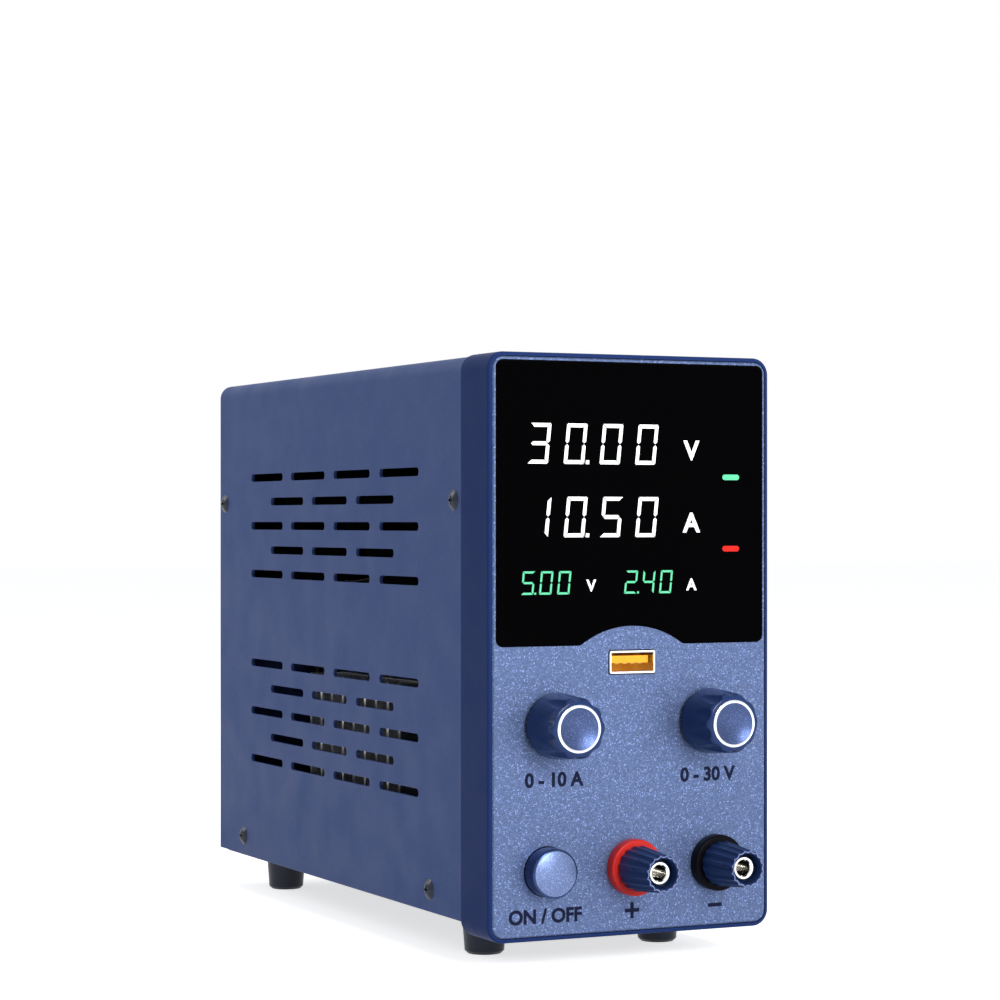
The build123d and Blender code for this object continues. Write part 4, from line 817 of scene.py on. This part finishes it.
@dataclass
class Readout:
    """Everything that is lit behind the lens."""

    unit_height: float = 5.2 * MM
    small_unit_height: float = 3.1 * MM
    mark_width: float = 5.2 * MM
    mark_height: float = 1.5 * MM
    proud: float = 0.02 * MM
    unit_x: float = 17.7 * MM
    small_unit_x: float = -12.4 * MM
    row_margin: float = 7.5 * MM
    small_margin: float = 9.5 * MM
    unit_drop: float = 1.2 * MM
    ampere_drop: float = 1.3 * MM
    small_unit_drop: float = 0.7 * MM
    mark_margin: float = 1.5 * MM
    letter_weight: float = 0.19 * MM
    large: SegmentDigits = field(default_factory=lambda: SegmentDigits(
        10.6 * MM, 6.0 * MM, 1.0 * MM, 10.6 * MM))
    fine: SegmentDigits = field(default_factory=lambda: SegmentDigits(
        6.1 * MM, 3.6 * MM, 0.55 * MM, 5.25 * MM, gap=0.1 * MM))

    def build(self) -> None:
        """Builds digits, unit letters and mode marks."""
        front = Span.of("display_lens").low.y - self.proud
        displays = Span.of("main_displays")
        small = Span.of("usb_displays")
        lamps = Span.of("mode_lamps")
        row_offset = displays.size.z / 2 - self.row_margin
        rows = [displays.middle.z + row_offset, displays.middle.z - row_offset]
        shapes = []
        for text, z in zip(("30.00", "10.50"), rows):
            shapes.append(self.large.row(text, Vector((displays.middle.x, 0, z)), front))
        small_level = small.middle.z - self.small_unit_drop
        letters = [("V", self.unit_x, rows[0] - self.unit_drop, self.unit_height),
                   ("A", self.unit_x, rows[1] - self.ampere_drop, self.unit_height),
                   ("V", self.small_unit_x, small_level, self.small_unit_height),
                   ("A", self.unit_x, small_level, self.small_unit_height)]
        thickness = self.large.thickness
        for word, x, z, height in letters:
            text = flat_text(word, height, thickness, self.letter_weight * height / self.unit_height)
            shapes.append(moved(text, Vector((x, front + thickness / 2, z))))
        make_piece("lit_white_marks", joined(shapes), [FINISH.lit_white], "housing")
        half = small.size.x / 2 - self.small_margin
        green = [self.fine.row("5.00", Vector((small.middle.x - half, 0, small.middle.z)), front),
                 self.fine.row("2.40", Vector((small.middle.x + half, 0, small.middle.z)), front),
                 self.mode_mark(lamps.middle.x, lamps.high.z - self.mark_margin, front, thickness)]
        make_piece("lit_green_marks", joined(green), [FINISH.lit_green], "housing")
        red = self.mode_mark(lamps.middle.x, lamps.low.z + self.mark_margin, front, thickness)
        make_piece("lit_red_mark", red, [FINISH.lit_red], "housing")

    def mode_mark(self, x: float, z: float, front: float, thickness: float) -> BMesh:
        """A small lit bar with round ends."""
        half, end = self.mark_width / 2, self.mark_height / 2
        right = arc((x + half - end, z), end, -90, 90, 8)
        left = arc((x - half + end, z), end, 90, 270, 8)
        return plate(right + left, front, thickness)


@dataclass
class PanelPrint:
    """Dark printed marks on the front panel."""

    thickness: float = 0.02 * MM
    word_height: float = 3.7 * MM
    sign_size: float = 4.3 * MM
    sign_stroke: float = 1.0 * MM
    sign_drop: float = 11.5 * MM
    word_weight: float = 0.2 * MM
    current_place: Point = (-0.2 * MM, -14.0 * MM)
    voltage_place: Point = (0.0, -14.2 * MM)
    button_place: Point = (-0.4 * MM, -11.4 * MM)

    def build(self) -> None:
        """Prints the ranges, the switch's words and the signs of the posts."""
        front = Span.of("front_panel").low.y - self.thickness
        words = [("0 - 10 A", "current_knob", self.current_place),
                 ("0 - 30 V", "voltage_knob", self.voltage_place),
                 ("ON / OFF", "power_button", self.button_place)]
        shapes = []
        for word, node, (x, z) in words:
            middle = Span.of(node).middle
            text = flat_text(word, self.word_height, self.thickness, self.word_weight)
            shapes.append(moved(text, Vector((middle.x + x, front + self.thickness / 2, middle.z + z))))
        for name, crossed in (("positive", True), ("negative", False)):
            post = Span.of(f"{name}_collar").middle
            centre = Vector((post.x, 0, post.z - self.sign_drop))
            shapes.append(self.bar(centre, front, self.sign_size, self.sign_stroke))
            if crossed:
                arm = (self.sign_size - self.sign_stroke) / 2
                for side in (-1, 1):
                    middle = centre + Vector((0, 0, side * (arm + self.sign_stroke) / 2))
                    shapes.append(self.bar(middle, front, self.sign_stroke, arm))
        make_piece("panel_print", joined(shapes), [FINISH.ink], "housing")

    def bar(self, centre: Vector, front: float, width: float, height: float) -> BMesh:
        """A flat printed bar."""
        x, z = width / 2, height / 2
        outline = [(centre.x - x, centre.z - z), (centre.x + x, centre.z - z), (centre.x + x, centre.z + z),
                   (centre.x - x, centre.z + z)]
        return plate(outline, front, self.thickness)


@dataclass
class FanWheel:
    """Fan hub with cambered, twisted blades that overlap each other."""

    blades: int = 7
    hub_radius: float = 12.5 * MM
    tip_radius: float = 28.3 * MM
    blade_depth: float = 9.6 * MM
    hub_depth: float = 10.2 * MM
    hub_round: float = 1.2 * MM
    axle_radius: float = 1.5 * MM
    thickness: float = 0.9 * MM
    root: tuple[float, float] = (30.0, 18.5 * MM)
    tip: tuple[float, float] = (16.0, 31.0 * MM)
    camber: float = 0.06
    stations: int = 6
    steps: int = 10

    def build(self) -> None:
        """Builds the wheel in place of the plain one."""
        span = Span.of("fan_rotor")
        axis = Vector((span.middle.x, 0, span.middle.z))
        front = span.low.y
        corner = (self.hub_radius - self.hub_round, front + self.hub_round)
        back = front + self.hub_depth
        profile = [(0, front), *arc(corner, self.hub_round, -90, 0, 6), (self.hub_radius, back),
                   (self.axle_radius, back), (self.axle_radius, span.high.y), (0, span.high.y)]
        shapes = [lathe(profile, 64)]
        for index in range(self.blades):
            shape = self.blade(front + self.hub_depth / 2)
            bmesh.ops.rotate(shape, verts=shape.verts, cent=(0, 0, 0),
                             matrix=Matrix.Rotation(index * 2 * math.pi / self.blades, 3, "Y"))
            shapes.append(shape)
        make_piece("fan_wheel", moved(joined(shapes), axis), [FINISH.fan_plastic], "fan_rotor",
                   ["fan_rotor"])

    def blade(self, middle: float) -> BMesh:
        """One blade that points along +X, with its middle at a given Y."""
        mesh = bmesh.new()
        bmesh.ops.create_grid(mesh, x_segments=self.stations, y_segments=self.steps, size=0.5)
        for vertex in mesh.verts:
            out, along = vertex.co.x + 0.5, vertex.co.y
            radius = self.hub_radius - MM + out * (self.tip_radius - self.hub_radius + MM)
            pitch = math.radians(self.root[0] + out * (self.tip[0] - self.root[0]))
            width = self.root[1] + out * (self.tip[1] - self.root[1])
            arch = self.camber * width * (1 - 4 * along**2)
            turn = (along * width * math.cos(pitch) - arch * math.sin(pitch)) / radius
            depth = along * width * math.sin(pitch) + arch * math.cos(pitch)
            depth = max(-self.blade_depth / 2, min(self.blade_depth / 2, depth))
            vertex.co = (radius * math.cos(turn), middle + depth, radius * math.sin(turn))
        bmesh.ops.recalc_face_normals(mesh, faces=mesh.faces)
        bmesh.ops.solidify(mesh, geom=mesh.faces[:], thickness=self.thickness)
        bmesh.ops.recalc_face_normals(mesh, faces=mesh.faces)
        return mesh


@dataclass
class ChargingSocket:
    """The four spring contacts under the socket's tongue."""

    count: int = 4
    pitch: float = 2.3 * MM
    width: float = 1.3 * MM
    thickness: float = 0.3 * MM
    set_back: float = 0.5 * MM
    shortfall: float = 4.8 * MM
    drop: float = 3.3 * MM
    bend: float = 0.12 * MM

    def build(self) -> None:
        """Lays the contacts side by side along the tongue's underside."""
        span = Span.of("usb_tongue")
        shell = Span.of("usb_shell")
        under = shell.high.z - self.drop
        shapes = []
        for place in range(self.count):
            x = span.middle.x + (place - (self.count - 1) / 2) * self.pitch
            strip = bmesh.new()
            bmesh.ops.create_cube(strip, size=1.0)
            size = Vector((self.width, span.size.y - self.shortfall, self.thickness))
            bmesh.ops.scale(strip, verts=strip.verts, vec=size)
            middle = span.low.y + self.set_back + size.y / 2
            bmesh.ops.translate(strip, verts=strip.verts, vec=(x, middle, under - self.thickness / 2))
            bmesh.ops.bevel(strip, geom=strip.edges, offset=self.bend, offset_type="OFFSET", segments=3,
                            affect="EDGES", profile=0.5, material=-1)
            shapes.append(strip)
        make_piece("usb_contacts", joined(shapes), [FINISH.contact], "housing")


@dataclass
class CaseScrews:
    """Black domed screws with a cross recess in the sides of the cover."""

    head_radius: float = 2.9 * MM
    head_height: float = 1.2 * MM
    recess_length: float = 2.6 * MM
    recess_width: float = 0.55 * MM
    recess_depth: float = 0.7 * MM
    shank: float = 1.4 * MM
    shank_length: float = 4.8 * MM

    def build(self) -> None:
        """Makes the eight screws from one pattern."""
        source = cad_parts["case_screws"].data
        span = Span.of("case_screws")
        places = self.places(source, span)
        shapes = []
        for x_side, depth, height in places:
            shape = self.head()
            bmesh.ops.rotate(shape, verts=shape.verts, cent=(0, 0, 0),
                             matrix=Matrix.Rotation(x_side * math.pi / 2, 3, "Z"))
            top = span.high.x if x_side > 0 else span.low.x
            shapes.append(moved(shape, Vector((top, depth, height))))
        make_piece("case_screw_heads", joined(shapes), [FINISH.black_oxide], "housing",
                   ["case_screws"])

    def places(self, source: bpy.types.Mesh, span: Span) -> list[tuple[int, float, float]]:
        """Finds side, depth and height of each screw from the loose parts of the CAD mesh."""
        mesh = bmesh.new()
        mesh.from_mesh(source)
        bmesh.ops.remove_doubles(mesh, verts=mesh.verts, dist=1e-6)
        found: list[list[Vector]] = []
        left = set(mesh.verts)
        while left:
            stack = [left.pop()]
            group = []
            while stack:
                vertex = stack.pop()
                group.append(vertex.co.copy())
                for edge in vertex.link_edges:
                    other = edge.other_vert(vertex)
                    if other in left:
                        left.remove(other)
                        stack.append(other)
            found.append(group)
        mesh.free()
        result = []
        for group in found:
            ys, zs = [p.y for p in group], [p.z for p in group]
            side = 1 if group[0].x > 0 else -1
            result.append((side, (min(ys) + max(ys)) / 2, (min(zs) + max(zs)) / 2))
        return result

    def head(self) -> BMesh:
        """One screw whose head faces -Y, with its top at the origin."""
        dome = (self.head_radius**2 + self.head_height**2) / (2 * self.head_height)
        half = math.degrees(math.asin(self.head_radius / dome))
        profile = arc((0, dome), dome, -90, half - 90, 12)
        end = self.shank_length + self.head_height
        profile += [(self.shank, self.head_height), (self.shank, end), (0, end)]
        head = lathe(profile, 48)
        a, b = self.recess_width / 2, self.recess_length / 2
        cross = [(a, a), (b, a), (b, -a), (a, -a), (a, -b), (-a, -b), (-a, -a), (-b, -a), (-b, a), (-a, a),
                 (-a, b), (a, b)]
        return cut(head, plate(cross, -MM, MM + self.recess_depth))


def cut(body: BMesh, tool: BMesh) -> BMesh:
    """Cuts a tool's shape out of a body with a Boolean modifier and returns the result."""
    objects = []
    for name, shape in (("body", body), ("tool", tool)):
        data = bpy.data.meshes.new(name)
        shape.to_mesh(data)
        shape.free()
        thing = bpy.data.objects.new(name, data)
        bpy.context.scene.collection.objects.link(thing)
        objects.append(thing)
    modifier = objects[0].modifiers.new("cut", "BOOLEAN")
    modifier.operation = "DIFFERENCE"
    modifier.object = objects[1]
    modifier.solver = "EXACT"
    graph = bpy.context.evaluated_depsgraph_get()
    data = bpy.data.meshes.new_from_object(objects[0].evaluated_get(graph))
    result = bmesh.new()
    result.from_mesh(data)
    for thing in objects:
        mesh = thing.data
        bpy.data.objects.remove(thing)
        bpy.data.meshes.remove(mesh)
    bpy.data.meshes.remove(data)
    return result


@dataclass
class Carried:
    """CAD nodes that keep their shape and get a finish."""

    finishes: dict[str, Finish] = field(default_factory=lambda: {
        "top_cover": FINISH.cover, "bottom_pan": FINISH.pan, "rear_panel": FINISH.pan,
        "front_bezel": FINISH.bezel, "front_panel": FINISH.panel, "display_lens": FINISH.lens,
        "control_board": FINISH.circuit, "main_displays": FINISH.grey_plastic,
        "usb_displays": FINISH.grey_plastic, "mode_lamps": FINISH.clear, "usb_shell": FINISH.tin,
        "usb_tongue": FINISH.orange, "encoders": FINISH.zinc, "encoder_nuts": FINISH.zinc,
        "current_shaft": FINISH.zinc, "voltage_shaft": FINISH.zinc,
        "current_push_plate": FINISH.black_plastic, "voltage_push_plate": FINISH.black_plastic,
        "power_switch": FINISH.black_plastic, "positive_clamp_washer": FINISH.nickel,
        "negative_clamp_washer": FINISH.nickel, "post_insulators": FINISH.insulator,
        "post_lugs": FINISH.brass, "post_nuts": FINISH.zinc, "fan_frame": FINISH.fan_plastic,
        "fan_rotor": FINISH.fan_plastic, "fan_guard": FINISH.tin, "fan_screws": FINISH.zinc,
        "inlet_body": FINISH.black_plastic, "inlet_pins": FINISH.brass, "inlet_screws": FINISH.zinc,
        "fuse_drawer": FINISH.black_plastic, "fuse": FINISH.clear, "selector_body": FINISH.black_plastic,
        "selector_slider": FINISH.red_plastic, "feet": FINISH.rubber, "foot_screws": FINISH.zinc,
        "board_standoffs": FINISH.brass, "board_screws": FINISH.zinc, "main_board": FINISH.circuit,
        "transformer_core": FINISH.ferrite, "transformer_winding": FINISH.tape,
        "bulk_capacitors": FINISH.sleeve, "output_capacitors": FINISH.sleeve,
        "heat_sinks": FINISH.extrusion, "power_devices": FINISH.black_plastic,
        "output_choke": FINISH.copper, "line_filter": FINISH.copper, "wiring": FINISH.wire,
    })

    def build(self) -> None:
        """Assigns each finish to its node."""
        for name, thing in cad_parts.items():
            finish = self.finishes.get(name, FINISH.black_plastic)
            thing.data.materials.clear()
            thing.data.materials.append(finish.material())
            LOG.info("%s: %s", name, finish.name)


# Studio


@dataclass(frozen=True)
class Softbox:
    """A square lamp: place, side, power in watts, and whether shiny surfaces show it."""

    name: str
    place: tuple[float, float, float]
    size: float
    power: float
    glossy: bool = True


@dataclass
class Studio:
    """Camera, floor and lights."""

    position: Vector = field(default_factory=lambda: Vector((-351.1, -752.8, 117.35)) * MM)
    heading: float = math.radians(-25.4)
    lens: float = 101.27
    shift: float = 0.021
    target: Vector = field(default_factory=lambda: Vector((0, 0, 0.08)))
    floor_size: float = 12.0
    floor_glow: float = 0.69
    floor_tone: float = 0.8
    floor_roughness: float = 0.9
    world_light: float = 0.39
    world_colour: Colour = (0.94, 0.97, 1.0)
    lamps: tuple[Softbox, ...] = (
        Softbox("key", (0.62, -1.0, 0.34), 0.5, 5.5, glossy=False),
        Softbox("front", (0.06, -1.18, 0.47), 0.30, 8.0),
        Softbox("back_left", (-0.9, 0.85, 0.8), 0.6, 5.0),
        Softbox("top", (0.1, 0.2, 1.4), 1.0, 4.0),
    )

    def build(self) -> None:
        """Sets up the camera, the lights, the floor and the background."""
        self.build_camera()
        self.build_lights()
        self.build_floor()
        self.build_background()

    def build_camera(self) -> None:
        """Places the camera where the photograph was taken from."""
        data = bpy.data.cameras.new("camera")
        data.lens = self.lens
        data.shift_y = self.shift
        data.clip_start, data.clip_end = 0.01, 50
        camera = bpy.data.objects.new("camera", data)
        camera.location = self.position
        camera.rotation_euler = (math.pi / 2, 0, self.heading)
        bpy.context.scene.collection.objects.link(camera)
        bpy.context.scene.camera = camera

    def build_lights(self) -> None:
        """Places the softboxes so that they face the object."""
        for lamp in self.lamps:
            data = bpy.data.lights.new(lamp.name, "AREA")
            data.size = lamp.size
            data.energy = lamp.power
            light = bpy.data.objects.new(lamp.name, data)
            light.location = lamp.place
            light.rotation_euler = (self.target - Vector(lamp.place)).to_track_quat("-Z", "Y").to_euler()
            light.visible_glossy = lamp.glossy
            bpy.context.scene.collection.objects.link(light)

    def lit_for_view(self, tree: bpy.types.NodeTree) -> Socket:
        """A value that is 1 for rays from the camera, from shiny surfaces and through glass."""
        path = tree.nodes.new("ShaderNodeLightPath")
        total = path.outputs["Is Camera Ray"]
        for name in ("Is Glossy Ray", "Is Transmission Ray"):
            node = tree.nodes.new("ShaderNodeMath")
            node.operation = "MAXIMUM"
            tree.links.new(total, node.inputs[0])
            tree.links.new(path.outputs[name], node.inputs[1])
            total = node.outputs["Value"]
        return total

    def build_floor(self) -> None:
        """Lays a white floor that keeps the object's shadow."""
        mesh = bmesh.new()
        bmesh.ops.create_grid(mesh, x_segments=1, y_segments=1, size=self.floor_size / 2)
        data = bpy.data.meshes.new("floor")
        mesh.to_mesh(data)
        mesh.free()
        floor = bpy.data.objects.new("floor", data)
        bpy.context.scene.collection.objects.link(floor)
        recipe = Recipe("floor_paper")
        recipe.surface.inputs["Base Color"].default_value = (*[self.floor_tone] * 3, 1)
        recipe.surface.inputs["Roughness"].default_value = self.floor_roughness
        recipe.surface.inputs["Specular IOR Level"].default_value = 0.0
        glow = recipe.add("ShaderNodeEmission")
        level = recipe.add("ShaderNodeMath", operation="MULTIPLY")
        recipe.join(self.lit_for_view(recipe.tree), level.inputs[0])
        level.inputs[1].default_value = self.floor_glow
        recipe.join(level.outputs["Value"], glow.inputs["Strength"])
        both = recipe.add("ShaderNodeAddShader")
        recipe.join(recipe.surface.outputs["BSDF"], both.inputs[0])
        recipe.join(glow.outputs["Emission"], both.inputs[1])
        recipe.join(both.outputs["Shader"], recipe.output.inputs["Surface"])
        data.materials.append(recipe.material)

    def build_background(self) -> None:
        """Makes the world a soft light that the camera and shiny surfaces see as white."""
        world = bpy.data.worlds.new("background")
        bpy.context.scene.world = world
        world.use_nodes = True
        tree = world.node_tree
        tree.nodes.clear()
        output = tree.nodes.new("ShaderNodeOutputWorld")
        mix = tree.nodes.new("ShaderNodeMixShader")
        shades = []
        for colour, strength in ((self.world_colour, self.world_light), ((1, 1, 1), 1.0)):
            shade = tree.nodes.new("ShaderNodeBackground")
            shade.inputs["Color"].default_value = (*colour, 1)
            shade.inputs["Strength"].default_value = strength
            shades.append(shade)
        tree.links.new(self.lit_for_view(tree), mix.inputs["Fac"])
        tree.links.new(shades[0].outputs["Background"], mix.inputs[1])
        tree.links.new(shades[1].outputs["Background"], mix.inputs[2])
        tree.links.new(mix.outputs["Shader"], output.inputs["Surface"])


def main() -> None:
    """Builds the studio and every part in order."""
    logging.basicConfig(level=logging.INFO, format="%(name)s %(message)s")
    bpy.context.scene.view_settings.view_transform = "Standard"
    parts = (Studio(), Carried(), Controls(), PowerButton(), OutputPosts(), Readout(), PanelPrint(),
             ChargingSocket(), CaseScrews(), FanWheel())
    for part in parts:
        LOG.info("building %s", type(part).__name__)
        part.build()


if __name__ == "__main__":
    main()
